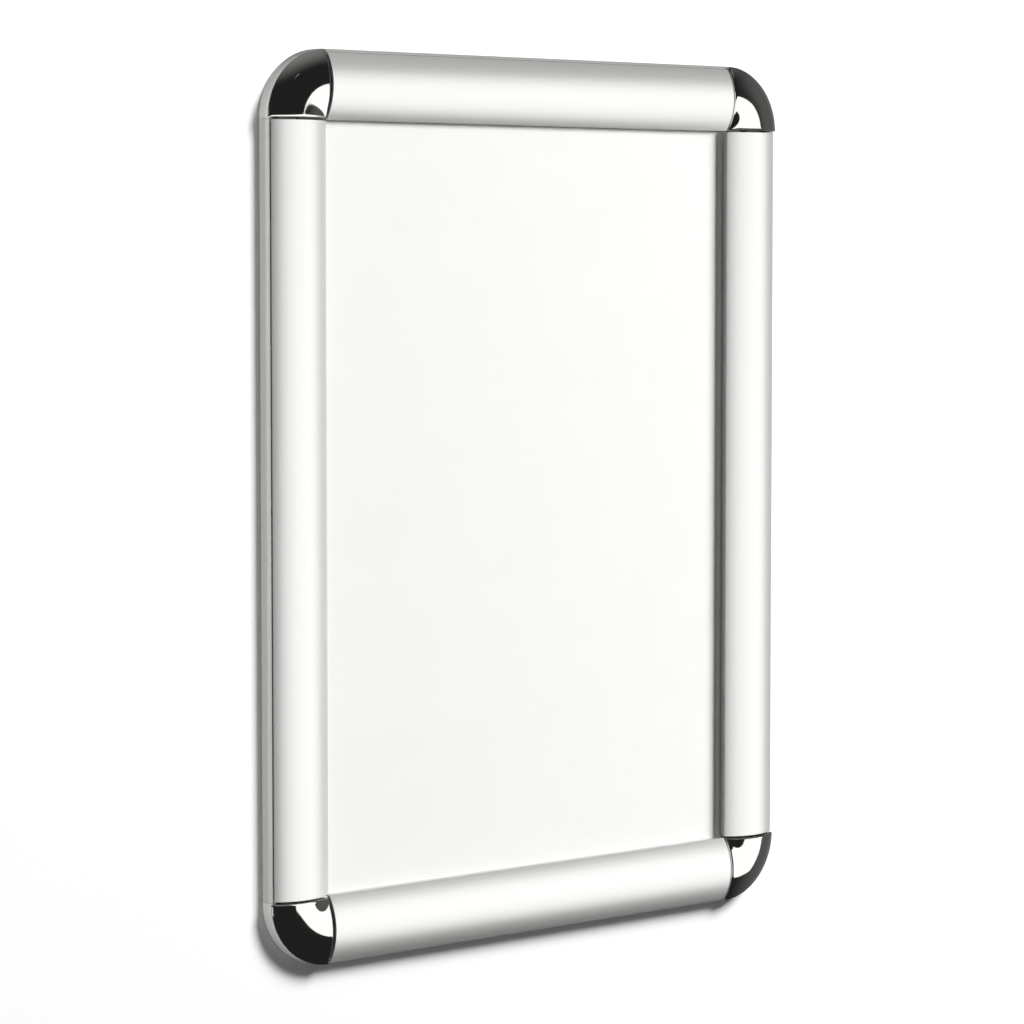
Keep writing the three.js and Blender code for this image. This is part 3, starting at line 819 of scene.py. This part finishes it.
def silver_plastic(name, shade):
    """Silver-grey moulded plastic: a fine spark texture and a slight metallic fleck."""
    finish = Finish(name)
    grain = finish.noise(finish.place, 3800, detail=2)
    cloud = finish.noise(finish.place, 90, detail=2)
    return finish.done(finish.surface(
        Base_Color=finish.blend(grain * 0.6 + cloud * 0.4, opaque(shade, 0.96), opaque(shade, 1.04)),
        Metallic=0.25,
        Roughness=0.40 + grain * 0.08,
        Normal=finish.bump(grain, 0.006 * MM),
    ))


def chrome(name, shade):
    """Mirror chrome on plastic: a faint moulding wave and thin wiping smears in its gloss."""
    finish = Finish(name)
    wave = finish.noise(finish.place, 120, detail=1)
    smear = finish.noise(finish.drawn_out((1, 1, 0.3)), 260, detail=4)
    return finish.done(finish.surface(
        Base_Color=finish.blend(smear, opaque(shade, 0.98), opaque(shade, 1.02)),
        Metallic=1.0,
        Roughness=0.035 + smear * 0.05,
        Normal=finish.bump(wave, 0.012 * MM),
    ))


def zinc(name, shade):
    """Bright zinc plating: a cloudy yellow and blue passivation over turning marks."""
    finish = Finish(name)
    cloud = finish.noise(finish.place, 700, detail=3)
    warm = (shade[0] * 1.04, shade[1], shade[2] * 0.88)
    cool = (shade[0] * 0.92, shade[1] * 0.97, shade[2] * 1.08)
    return finish.done(finish.surface(
        Base_Color=finish.blend(cloud, opaque(warm), opaque(cool)),
        Metallic=1.0,
        Roughness=0.26 + cloud * 0.16,
        Normal=finish.bump(cloud, 0.01 * MM),
    ))


def spring_steel(name, shade):
    """Tempered strip: rolling lines across the leaf's width and a soft blue cloud from the heat."""
    finish = Finish(name)
    lines = finish.noise(finish.drawn_out((1, 0.2, 1)), 1800, detail=3)
    heat = finish.noise(finish.place, 150, detail=2)
    blued = (shade[0] * 0.82, shade[1] * 0.9, shade[2] * 1.12)
    return finish.done(finish.surface(
        Base_Color=finish.blend(heat, opaque(shade), opaque(blued)),
        Metallic=1.0,
        Roughness=0.27 + lines * 0.14,
        Normal=finish.bump(lines, 0.006 * MM),
    ))


def panel_plastic(name, shade):
    """White extruded sheet: a fine matt skin and the extruder's faint upright lines."""
    finish = Finish(name)
    lines = finish.noise(finish.drawn_out((1, 1, 0.01)), 420, detail=2)
    skin = finish.noise(finish.place, 2600, detail=2)
    return finish.done(finish.surface(
        Base_Color=finish.blend(lines * 0.6 + skin * 0.4, opaque(shade, 0.97), opaque(shade, 1.02)),
        Roughness=0.52 + skin * 0.12,
        Normal=finish.bump(skin * 0.6 + lines * 0.4, 0.01 * MM),
    ))


def white_paper(name, shade):
    """Plain white paper: a cloudy formation and a tooth of short fibres."""
    finish = Finish(name)
    cloud = finish.noise(finish.place, 230, detail=3)
    fibres = finish.noise(finish.drawn_out((1, 1, 0.35)), 2900, detail=3)
    return finish.done(finish.surface(
        Base_Color=finish.blend(cloud * 0.6 + fibres * 0.4, opaque(shade, 0.985), opaque(shade, 1.01)),
        Roughness=0.82 + fibres * 0.1,
        Normal=finish.bump(fibres, 0.01 * MM),
    ))


def clear_cover(name):
    """Clear sheet: it mirrors a share of 0.04 + 0.96 * (1 - cosine)^5 and a trace of haze, and lets the rest
    through."""
    finish = Finish(name)
    haze = finish.noise(finish.place, 60, detail=2)
    ripple = finish.noise(finish.drawn_out((1, 1, 0.5)), 35, detail=1)
    gloss = finish.surface(
        Base_Color=(0.96, 0.97, 0.98, 1),
        Metallic=1.0,
        Roughness=0.06 + haze * 0.05,
        Normal=finish.bump(ripple, 0.02 * MM),
    )
    through = finish.node("ShaderNodeBsdfTransparent", {"Color": (0.992, 0.991, 0.988, 1)})
    slant = finish.node("ShaderNodeLayerWeight", {"Blend": 0.5}, output="Facing")
    share = slant ** 5 * 0.96 + 0.04 + haze * 0.012
    return finish.done(finish.node("ShaderNodeMixShader", {0: share, 1: through, 2: gloss}))


def plain_backdrop(name, shade):
    """A matt pale board with a barely mottled paint, which sight passes through from behind."""
    finish = Finish(name)
    mottle = finish.noise(finish.place, 14, detail=2)
    paint = finish.surface(
        Base_Color=finish.blend(mottle, opaque(shade, 0.995), opaque(shade, 1.005)),
        Roughness=0.9,
        Specular_IOR_Level=0.0,
    )
    through = finish.node("ShaderNodeBsdfTransparent")
    back = finish.node("ShaderNodeNewGeometry", output="Backfacing")
    return finish.done(finish.node("ShaderNodeMixShader", {0: back, 1: paint, 2: through}))


# Operators


class SNAPFRAME_OT_base_rails(Operator):
    """Draw the four base rails, with their screw holes"""

    bl_idname = "snap_frame.base_rails"
    bl_label = "Base rails"

    def execute(self, context):
        layout = Layout(context)
        outline = layout.base_outline()
        upright, level = drawn_finishes("rail", context.scene.snap_frame.colours.rail, 0.4, 0.45)
        for name, inward in SIDES.items():
            length, place = layout.side(name)
            rail = drawn(f"{name}_rail_extrusion", outline, length - layout.rails.end_gap)
            for _, end in ENDS:
                along = end * (length / 2 - layout.screws.leg_setback)
                combined(rail, hole_tool(layout, layout.leg_middle, along), "DIFFERENCE")
                if inward.x:
                    along = end * (length / 2 - layout.screws.wall_hole_setback)
                    combined(rail, wall_hole_tool(layout, layout.leg_middle, along), "DIFFERENCE")
            tidied(moved(rail, place))
            finished(rail, "frame", [f"{name}_base_rail"], "base_aluminium", upright if inward.x else level)
        return {"FINISHED"}


def upright_in_section(u, along):
    """The matrix that stands a turned shape's axis along v, at u and at a place along the rail."""
    return basis(Vector((1, 0, 0)), Vector((0, 0, -1)), Vector((0, 1, 0)), Vector((u, 0, along)))


def hole_profile(layout, depth):
    """A countersunk hole from the wall side up to a depth, as (radius, height)."""
    screws = layout.screws
    wide, narrow = screws.head + screws.gap, screws.radius + screws.gap
    return np.array([(0, -OVERCUT), (wide, -OVERCUT), (wide, 0), (narrow, screws.head - screws.radius),
                     (narrow, depth), (0, depth)])


def hole_tool(layout, u, along):
    """The tool that cuts a rail screw's hole through the web."""
    profile = hole_profile(layout, layout.rails.web + OVERCUT)
    return moved(turned("hole_tool", profile), upright_in_section(u, along))


def wall_hole_tool(layout, u, along):
    """The tool that cuts a wall screw's hole, countersunk on the web's front."""
    web, radius = layout.rails.web, layout.screws.wall_hole
    wide, top = radius + layout.screws.wall_hole_sink, web + OVERCUT
    profile = np.array([(0, -OVERCUT), (radius, -OVERCUT), (radius, web / 3), (wide, web), (wide, top),
                        (0, top)])
    return moved(turned("wall_hole_tool", profile), upright_in_section(u, along))


class SNAPFRAME_OT_snap_lids(Operator):
    """Draw the four arched lids"""

    bl_idname = "snap_frame.snap_lids"
    bl_label = "Snap lids"

    def execute(self, context):
        layout = Layout(context)
        outline = layout.lid_outline()
        upright, level = drawn_finishes("lid", context.scene.snap_frame.colours.lid, 0.8, 0.46)
        for name, inward in SIDES.items():
            length, place = layout.side(name)
            sawn = length - 2 * layout.lids.end_gap
            lid = drawn(f"{name}_lid_extrusion", outline, sawn, layout.lids.saw_round)
            tidied(moved(lid, place))
            finish = upright if inward.x else level
            finished(lid, f"{name}_lid", [f"{name}_snap_lid"], "lid_aluminium", finish)
        return {"FINISHED"}


class SNAPFRAME_OT_leaf_springs(Operator):
    """Bend the eight leaf springs between the rails and the lids"""

    bl_idname = "snap_frame.leaf_springs"
    bl_label = "Leaf springs"

    def execute(self, context):
        layout = Layout(context)
        springs = layout.springs
        steel = spring_steel("tempered_strip", context.scene.snap_frame.colours.steel)
        outline = layout.leaf_outline()
        tip, seat, _ = layout.leaf()
        bend_from = seat + (tip - seat) * BEND_START
        for name in SIDES:
            length, place = layout.side(name)
            for number, end in ENDS:
                leaf = drawn(f"{name}_spring_leaf_{number}", outline, springs.width,
                             springs.thickness * LEAF_END_ROUND)
                along = end * (length / 2 - springs.setback)
                tidied(moved(leaf, place @ Matrix.Translation((0, 0, along))))
                start = place @ Vector((*bend_from, along))
                stop = place @ Vector((*tip, along))
                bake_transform(leaf)
                finished(leaf, None, [f"{name}_leaf_spring_{number}"], "spring_steel", steel)
        return {"FINISHED"}


class SNAPFRAME_OT_connectors(Operator):
    """Mould the four corner connectors"""

    bl_idname = "snap_frame.connectors"
    bl_label = "Corner connectors"

    def execute(self, context):
        layout = Layout(context)
        template = connector(layout)
        plastic = silver_plastic("moulded_silver", context.scene.snap_frame.colours.connector)
        for name in CORNERS:
            piece = copied(template, f"{name}_key_and_rim", layout.corner(name))
            finished(piece, "frame", [f"{name}_connector"], "connector_plastic", plastic)
        bpy.data.objects.remove(template)
        return {"FINISHED"}


def connector(layout):
    """A quarter-round floor and rim, an L-shaped key with a leg for each rail, and three screw holes."""
    corners, rails, screws = layout.corners, layout.rails, layout.screws
    start = rails.end_gap / 2
    near, far = rails.width - layout.leg_inner, rails.width - layout.leg_outer
    top, low = layout.leg_top, layout.leg_bottom
    body = quarter_turned("connector_template", layout.rim_outline(), start, TURN_STEPS)
    reach = rails.width - corners.rim + rails.socket_wall
    key = quarter_turned("key", joined([(0, rails.web / 2), (reach, rails.web / 2), (reach, top), (0, top)]),
                         start, TURN_STEPS)
    bars = combined(block("bar", (near, 0, 0), (far, far, top + OVERCUT)),
                    block("bar", (0, near, 0), (far, far, top + OVERCUT)), "UNION")
    combined(body, combined(key, bars, "INTERSECT"), "UNION")
    combined(body, block("leg", (near, -corners.leg, low), (far, near, top), LEG_ROUND), "UNION")
    combined(body, block("leg", (-corners.leg, near, low), (near, far, top), LEG_ROUND), "UNION")
    leg_hole = rails.width - layout.leg_middle
    along = -screws.leg_setback
    for x, y in ((layout.boss, layout.boss), (leg_hole, along), (along, leg_hole)):
        tool = turned("hole_tool", hole_profile(layout, top + OVERCUT))
        combined(body, moved(tool, Matrix.Translation((x, y, 0))), "DIFFERENCE")
    tidied(body)
    return body


class SNAPFRAME_OT_corner_caps(Operator):
    """Turn the four chromed corner caps"""

    bl_idname = "snap_frame.corner_caps"
    bl_label = "Corner caps"

    def execute(self, context):
        layout = Layout(context)
        template = corner_cap(layout)
        plating = chrome("chrome_plating", context.scene.snap_frame.colours.chrome)
        for name in CORNERS:
            piece = copied(template, f"{name}_chrome_cap", layout.corner(name))
            finished(piece, "frame", [f"{name}_corner_cap"], "cap_chrome", plating)
        bpy.data.objects.remove(template)
        return {"FINISHED"}


def corner_cap(layout):
    """The lids' arch turned about the opening's corner, hollow below, with a bored boss for its screw."""
    corners, screws = layout.corners, layout.screws
    outline, sunk = layout.cap_outline()
    body = quarter_turned("cap_template", outline, corners.cap_gap, TURN_STEPS, corners.cap_round, sunk)
    inside = corners.cap_gap + corners.cap_end
    hollow = quarter_turned("hollow", layout.hollow_outline(), inside, TURN_STEPS // 2)
    combined(body, hollow, "DIFFERENCE")
    place = Matrix.Translation((layout.boss, layout.boss, 0))

    def post(radius, low, high):
        return moved(turned("post", np.array([(0, low), (radius, low), (radius, high), (0, high)])), place)

    floor = layout.leg_top + corners.floor_gap
    combined(body, post(corners.boss, floor, layout.cap_roof + corners.cap_wall / 2), "UNION")
    bore_top = layout.cap_roof - corners.bore_roof
    combined(body, post(screws.radius + screws.gap, -OVERCUT, bore_top), "DIFFERENCE")
    tidied(body)
    return body


class SNAPFRAME_OT_screws(Operator):
    """Cut the twelve screws"""

    bl_idname = "snap_frame.screws"
    bl_label = "Screws"

    def execute(self, context):
        layout = Layout(context)
        corners, screws = layout.corners, layout.screws
        plating = zinc("zinc_plating", context.scene.snap_frame.colours.zinc)
        short = screw(layout, layout.leg_top - screws.tip)
        long = screw(layout, layout.cap_roof - corners.bore_roof - screws.gap)
        for name in SIDES:
            length, place = layout.side(name)
            for number, end in ENDS:
                along = end * (length / 2 - screws.leg_setback)
                piece = copied(short, f"{name}_rail_fixing_{number}",
                               place @ upright_in_section(layout.leg_middle, along))
                finished(piece, "frame", [f"{name}_rail_screw_{number}"], "zinc_screw", plating)
        to_boss = Matrix.Translation((layout.boss, layout.boss, 0))
        for name in CORNERS:
            piece = copied(long, f"{name}_cap_fixing", layout.corner(name) @ to_boss)
            finished(piece, "frame", [f"{name}_cap_screw"], "zinc_screw", plating)
        bpy.data.objects.remove(short)
        bpy.data.objects.remove(long)
        return {"FINISHED"}


def screw(layout, length):
    """A countersunk screw, its head's face at the back, with a cross recess and a thread.

    The thread's radius is the shank's, less its depth times the distance of (height / pitch - angle / turn)
    from the nearest whole number, which rises by one pitch in each turn.
    """
    screws = layout.screws
    neck = screws.head - screws.radius
    steps = 4 + int((length - neck) / screws.pitch * THREAD_STEPS)
    shank = np.linspace(neck, length - screws.radius / 2, steps)
    head = [(0, screws.sink), (screws.head - 2 * screws.sink, screws.sink),
            (screws.head - screws.sink, HEAD_RIM * screws.sink), (screws.radius, neck)]
    point = [(screws.radius / 2, length), (0, length)]
    profile = np.array([*head, *[(screws.radius, height) for height in shank[1:]], *point])
    height = profile[:, 1]
    threaded = (height > neck + screws.pitch / 4) & (height < length - screws.radius / 2 + HAIR)

    def thread(angle):
        turns = height / screws.pitch - angle / (2 * np.pi)
        return -screws.thread * 2 * np.abs(turns - np.round(turns)) * threaded

    body = turned("screw_template", profile, ripple=thread)
    half, arm = screws.recess / 2, screws.recess_width / 2
    cross = joined([
        (arm, -half), (arm, -arm), (half, -arm), (half, arm), (arm, arm), (arm, half),
        (-arm, half), (-arm, arm), (-half, arm), (-half, -arm), (-arm, -arm), (-arm, -half),
    ])
    depth = screws.sink + screws.recess_depth
    levels = np.array([-OVERCUT, depth])
    shrink = np.array([0, RECESS_TAPER])
    flat = cross[None] + shrink[:, None, None] * bisectors(cross)[None]
    upright = np.broadcast_to(levels[:, None, None], (2, len(cross), 1))
    combined(body, closed_piece("recess_tool", np.concatenate([flat, upright], -1)), "DIFFERENCE")
    tidied(body)
    return body


class SNAPFRAME_OT_sheets(Operator):
    """Cut the back panel, the insert and the clear cover"""

    bl_idname = "snap_frame.sheets"
    bl_label = "Sheets"

    def execute(self, context):
        layout = Layout(context)
        sheets, colours = layout.sheets, context.scene.snap_frame.colours
        rows = (
            ("back_panel_sheet", "back_panel", layout.panel_back, sheets.panel, "back_panel_plastic",
             panel_plastic("white_sheet", colours.panel)),
            ("insert_sheet", "paper_insert", layout.paper_back, sheets.paper, "insert_paper",
             white_paper("white_paper", colours.paper)),
            ("cover_sheet", "clear_cover", layout.cover_back, sheets.cover, "cover_plastic",
             clear_cover("clear_sheet")),
        )
        half_width, half_height = sheets.width / 2, sheets.height / 2
        corners = joined([(-half_width, -half_height), (half_width, -half_height), (half_width, half_height),
                          (-half_width, half_height)])
        outline = softened(corners, sheets.corner)
        for name, node, back, thickness, slot, material in rows:
            piece = drawn(name, outline, thickness, thickness * SHEET_ROUND)
            middle = Vector((0, -(back + thickness / 2), 0))
            tidied(moved(piece, basis(Vector((1, 0, 0)), Vector((0, 0, 1)), FRONT, middle)))
            finished(piece, "frame", [node], slot, material)
        return {"FINISHED"}


class SNAPFRAME_OT_stage(Operator):
    """Set up the wall, the floor, the soft lights and the camera"""

    bl_idname = "snap_frame.stage"
    bl_label = "Stage"

    def execute(self, context):
        shade = context.scene.snap_frame.colours.stage
        wall = board("studio_wall", WALL_LOW, WALL_HIGH, plain_backdrop("wall_paint", shade))
        floor = board("studio_floor", FLOOR_LOW, FLOOR_HIGH, plain_backdrop("floor_paint", shade))
        for thing in (wall, floor):
            thing.visible_glossy = False
            thing.visible_diffuse = False
            thing.visible_shadow = False
            lit_set("stage").objects.link(thing)
        for name, (serves, rays, glow, aim, turn, distance, extent) in LIGHTS.items():
            softbox(name, lit_set(serves), rays, glow, Vector(aim), turn, distance, extent)
        studio_world(context.scene)
        view_of_the_photo(context.scene)
        context.scene.view_settings.view_transform = "Standard"
        return {"FINISHED"}


# The studio, in metres.
WALL_LOW, WALL_HIGH = Vector((-0.55, 0.0004, -0.235)), Vector((0.55, 0.0004, 0.45))
FLOOR_LOW, FLOOR_HIGH = Vector((-0.55, -0.75, -0.235)), Vector((0.55, 0.0004, -0.235))

# The room's radiance, and where along an axis it starts to rise, where it stops and by how much: overhead,
# to the back and to the right.
ROOM_GLOW = 0.02
ROOM_RISES = {"Z": (0.52, 0.95, 0.28), "Y": (-0.05, 0.3, 0.06), "X": (0.66, 0.93, 0.1)}

# Which sets of pieces, beside every piece, a material's pieces belong to.
LIT_WITH = {
    "lid_aluminium": ("metals",),
    "spring_steel": ("metals",),
    "zinc_screw": ("metals",),
    "base_aluminium": ("metals", "rails"),
    "connector_plastic": ("metals", "rails"),
    "cap_chrome": ("caps",),
}

# Each light: the set that it serves, its rays, its radiance, the point that it faces, how far round, up and
# about its own axis it is turned from there, in degrees, its distance and its extent.
LIGHTS = {
    "top_left_box": ("top_left_corner_cap", "gloss", 1.5, (-0.104, -0.009, 0.148), (40, -47, -35), 0.6,
                     (0.90, 1.06)),
    "top_right_box": ("top_right_corner_cap", "gloss", 1.5, (0.104, -0.009, 0.148), (5, -13, 8), 0.6,
                      (1.20, 0.30)),
    "bottom_left_box": ("bottom_left_corner_cap", "gloss", 1.5, (-0.104, -0.009, -0.148), (36, 19, -7), 0.6,
                        (0.54, 0.90)),
    "bottom_right_box": ("bottom_right_corner_cap", "gloss", 1.5, (0.104, -0.009, -0.148), (38, 1, -6), 0.6,
                         (0.56, 0.52)),
    "cap_strip": ("caps", "gloss", 1.0, (0, 0, 0), (-54, -5, 0), 1.0, (0.45, 0.9)),
    "metal_box": ("metals", "gloss", 1.28, (0, 0, 0), (20, -6, 0), 1.0, (2.4, 1.55)),
    "metal_room": ("metals", "gloss", 0.12, (0, 0, 0), (0, 10, 0), 2.2, (8, 8)),
    "frame_key": ("every_piece", "matt", 56.5, (0, 0, 0), (55, 15, 0), 4.0, (1.35, 1.35)),
    "frame_fill": ("every_piece", "matt", 0.35, (0, 0, 0), (-35, 8, 0), 1.2, (1.2, 1.2)),
    "rail_fill": ("rails", "matt", 9.5, (0, 0, 0), (-75, 5, 0), 1.2, (0.8, 0.8)),
    "rail_front": ("rails", "matt", 0.8, (0, 0, 0), (-10, -35, 0), 1.5, (1.6, 1.6)),
    "frame_back": ("every_piece", "matt", 18.0, (0, 0, 0), (180, 0, 0), 3.0, (1.0, 1.0)),
    "rail_back": ("rails", "gloss", 0.9, (0, 0, 0), (135, -15, 0), 2.0, (1.6, 1.6)),
    "wall_fill": ("stage", "matt", 0.34, (0, 0, 0), (0, 5, 0), 2.5, (2.5, 2.5)),
    "wall_key": ("stage", "matt", 41.0, (0, 0, 0), (32, 42, 0), 6.0, (2.2, 2.2)),
}


def board(name, low, high, material):
    """A flat rectangle between two corners, facing the front if it is upright and upwards if it lies."""
    points = np.array([low, (high.x, low.y, low.z), high, (low.x, high.y, high.z)])
    piece = new_piece(name, points, [(0, 1, 2, 3)])
    piece.data.materials.append(material)
    return piece


def axes_from(around, raised):
    """The axes of a lamp or camera, right, up and back, that looks in from so far round and so far up.

    Back is the unit vector at the angle around from straight in front and the angle raised over the level,
    both in radians, and the other two are the level and the upward direction across it.
    """
    back = Vector((np.sin(around) * np.cos(raised), -np.cos(around) * np.cos(raised), np.sin(raised)))
    right = Vector((0, 0, 1)).cross(back).normalized()
    return right, back.cross(right), back


def softbox(name, served, rays, glow, aim, turn, distance, extent):
    """A rectangular light of a radiance, which serves one set of pieces with its gloss or matt rays alone."""
    around, raised, rolled = np.radians(turn)
    side, up, back = axes_from(around, raised)
    light = bpy.data.lights.new(name, "AREA")
    light.shape = "RECTANGLE"
    light.size, light.size_y = extent
    light.energy = np.pi * extent[0] * extent[1] * glow
    lamp = bpy.data.objects.new(name, light)
    lamp.matrix_world = basis(side * np.cos(rolled) + up * np.sin(rolled),
                              up * np.cos(rolled) - side * np.sin(rolled), back, aim + back * distance)
    bpy.context.scene.collection.objects.link(lamp)
    lamp.visible_camera = False
    lamp.visible_diffuse = rays == "matt"
    lamp.visible_glossy = rays == "gloss"
    lamp.light_linking.receiver_collection = served
    return lamp


def studio_world(scene):
    """A dim room, a little lighter overhead, behind the wall and to the right, but plain white to the camera.

    Its radiance rises smoothly with the z, the y and the x of the unit vector towards the light.
    """
    room = Finish("studio", "worlds")
    glow = ROOM_GLOW
    for axis, rise in ROOM_RISES.items():
        along = room.node("ShaderNodeSeparateXYZ", {0: room.place}, output=axis)
        glow = glow + room.rise(along, *rise)
    light = room.node("ShaderNodeBackground", {"Color": (1, 1, 1, 1), "Strength": glow})
    white = room.node("ShaderNodeBackground", {"Color": (1, 1, 1, 1)})
    sight = room.node("ShaderNodeLightPath", output="Is Camera Ray")
    scene.world = room.done(room.node("ShaderNodeMixShader", {0: sight, 1: light, 2: white}),
                            "ShaderNodeOutputWorld")


# The photograph's camera: where it looks from, in degrees and metres, and its lens, in millimetres. Its shift
# is a part of the image's width.
CAMERA_YAW, CAMERA_PITCH = -38.15, 3.52
CAMERA_DISTANCE = 1.2503
CAMERA_ASIDE, CAMERA_RAISED = -0.0058, 0.0169
CAMERA_LENS = 117.3
CAMERA_SHIFT = -0.0586


def view_of_the_photo(scene):
    """The camera, a distance back along its line of sight from a point beside the frame's middle."""
    right, up, back = axes_from(np.radians(CAMERA_YAW), np.radians(CAMERA_PITCH))
    lens = bpy.data.cameras.new("photo_camera")
    lens.lens = CAMERA_LENS
    lens.shift_y = CAMERA_SHIFT
    lens.clip_start, lens.clip_end = 0.05, 20
    camera = bpy.data.objects.new("photo_camera", lens)
    spot = back * CAMERA_DISTANCE + right * CAMERA_ASIDE + up * CAMERA_RAISED
    camera.matrix_world = basis(right, up, back, spot)
    scene.collection.objects.link(camera)
    scene.camera = camera


class SNAPFRAME_PT_sidebar(Panel):
    """Lists the steps that build the frame"""

    bl_idname = "SNAPFRAME_PT_sidebar"
    bl_label = "Snap Frame"
    bl_space_type = "VIEW_3D"
    bl_region_type = "UI"
    bl_category = "Snap Frame"

    def draw(self, context):
        for step in STEPS:
            self.layout.operator(step.bl_idname)


STEPS = (
    SNAPFRAME_OT_stage,
    SNAPFRAME_OT_base_rails,
    SNAPFRAME_OT_snap_lids,
    SNAPFRAME_OT_leaf_springs,
    SNAPFRAME_OT_connectors,
    SNAPFRAME_OT_corner_caps,
    SNAPFRAME_OT_screws,
    SNAPFRAME_OT_sheets,
)
GROUPS = (SheetSizes, RailSizes, LidSizes, SpringSizes, CornerSizes, ScrewSizes, Colours, SnapFrame)
CLASSES = (*GROUPS, *STEPS, SNAPFRAME_PT_sidebar)


def register():
    """Adds the classes and the scene's settings to Blender."""
    for one in CLASSES:
        bpy.utils.register_class(one)
    bpy.types.Scene.snap_frame = PointerProperty(type=SnapFrame)


def unregister():
    """Takes them away again."""
    del bpy.types.Scene.snap_frame
    for one in reversed(CLASSES):
        bpy.utils.unregister_class(one)


def main():
    """Builds the stage and every piece."""
    register()
    for step in STEPS:
        group, name = step.bl_idname.split(".")
        getattr(getattr(bpy.ops, group), name)()


if __name__ == "__main__":
    main()
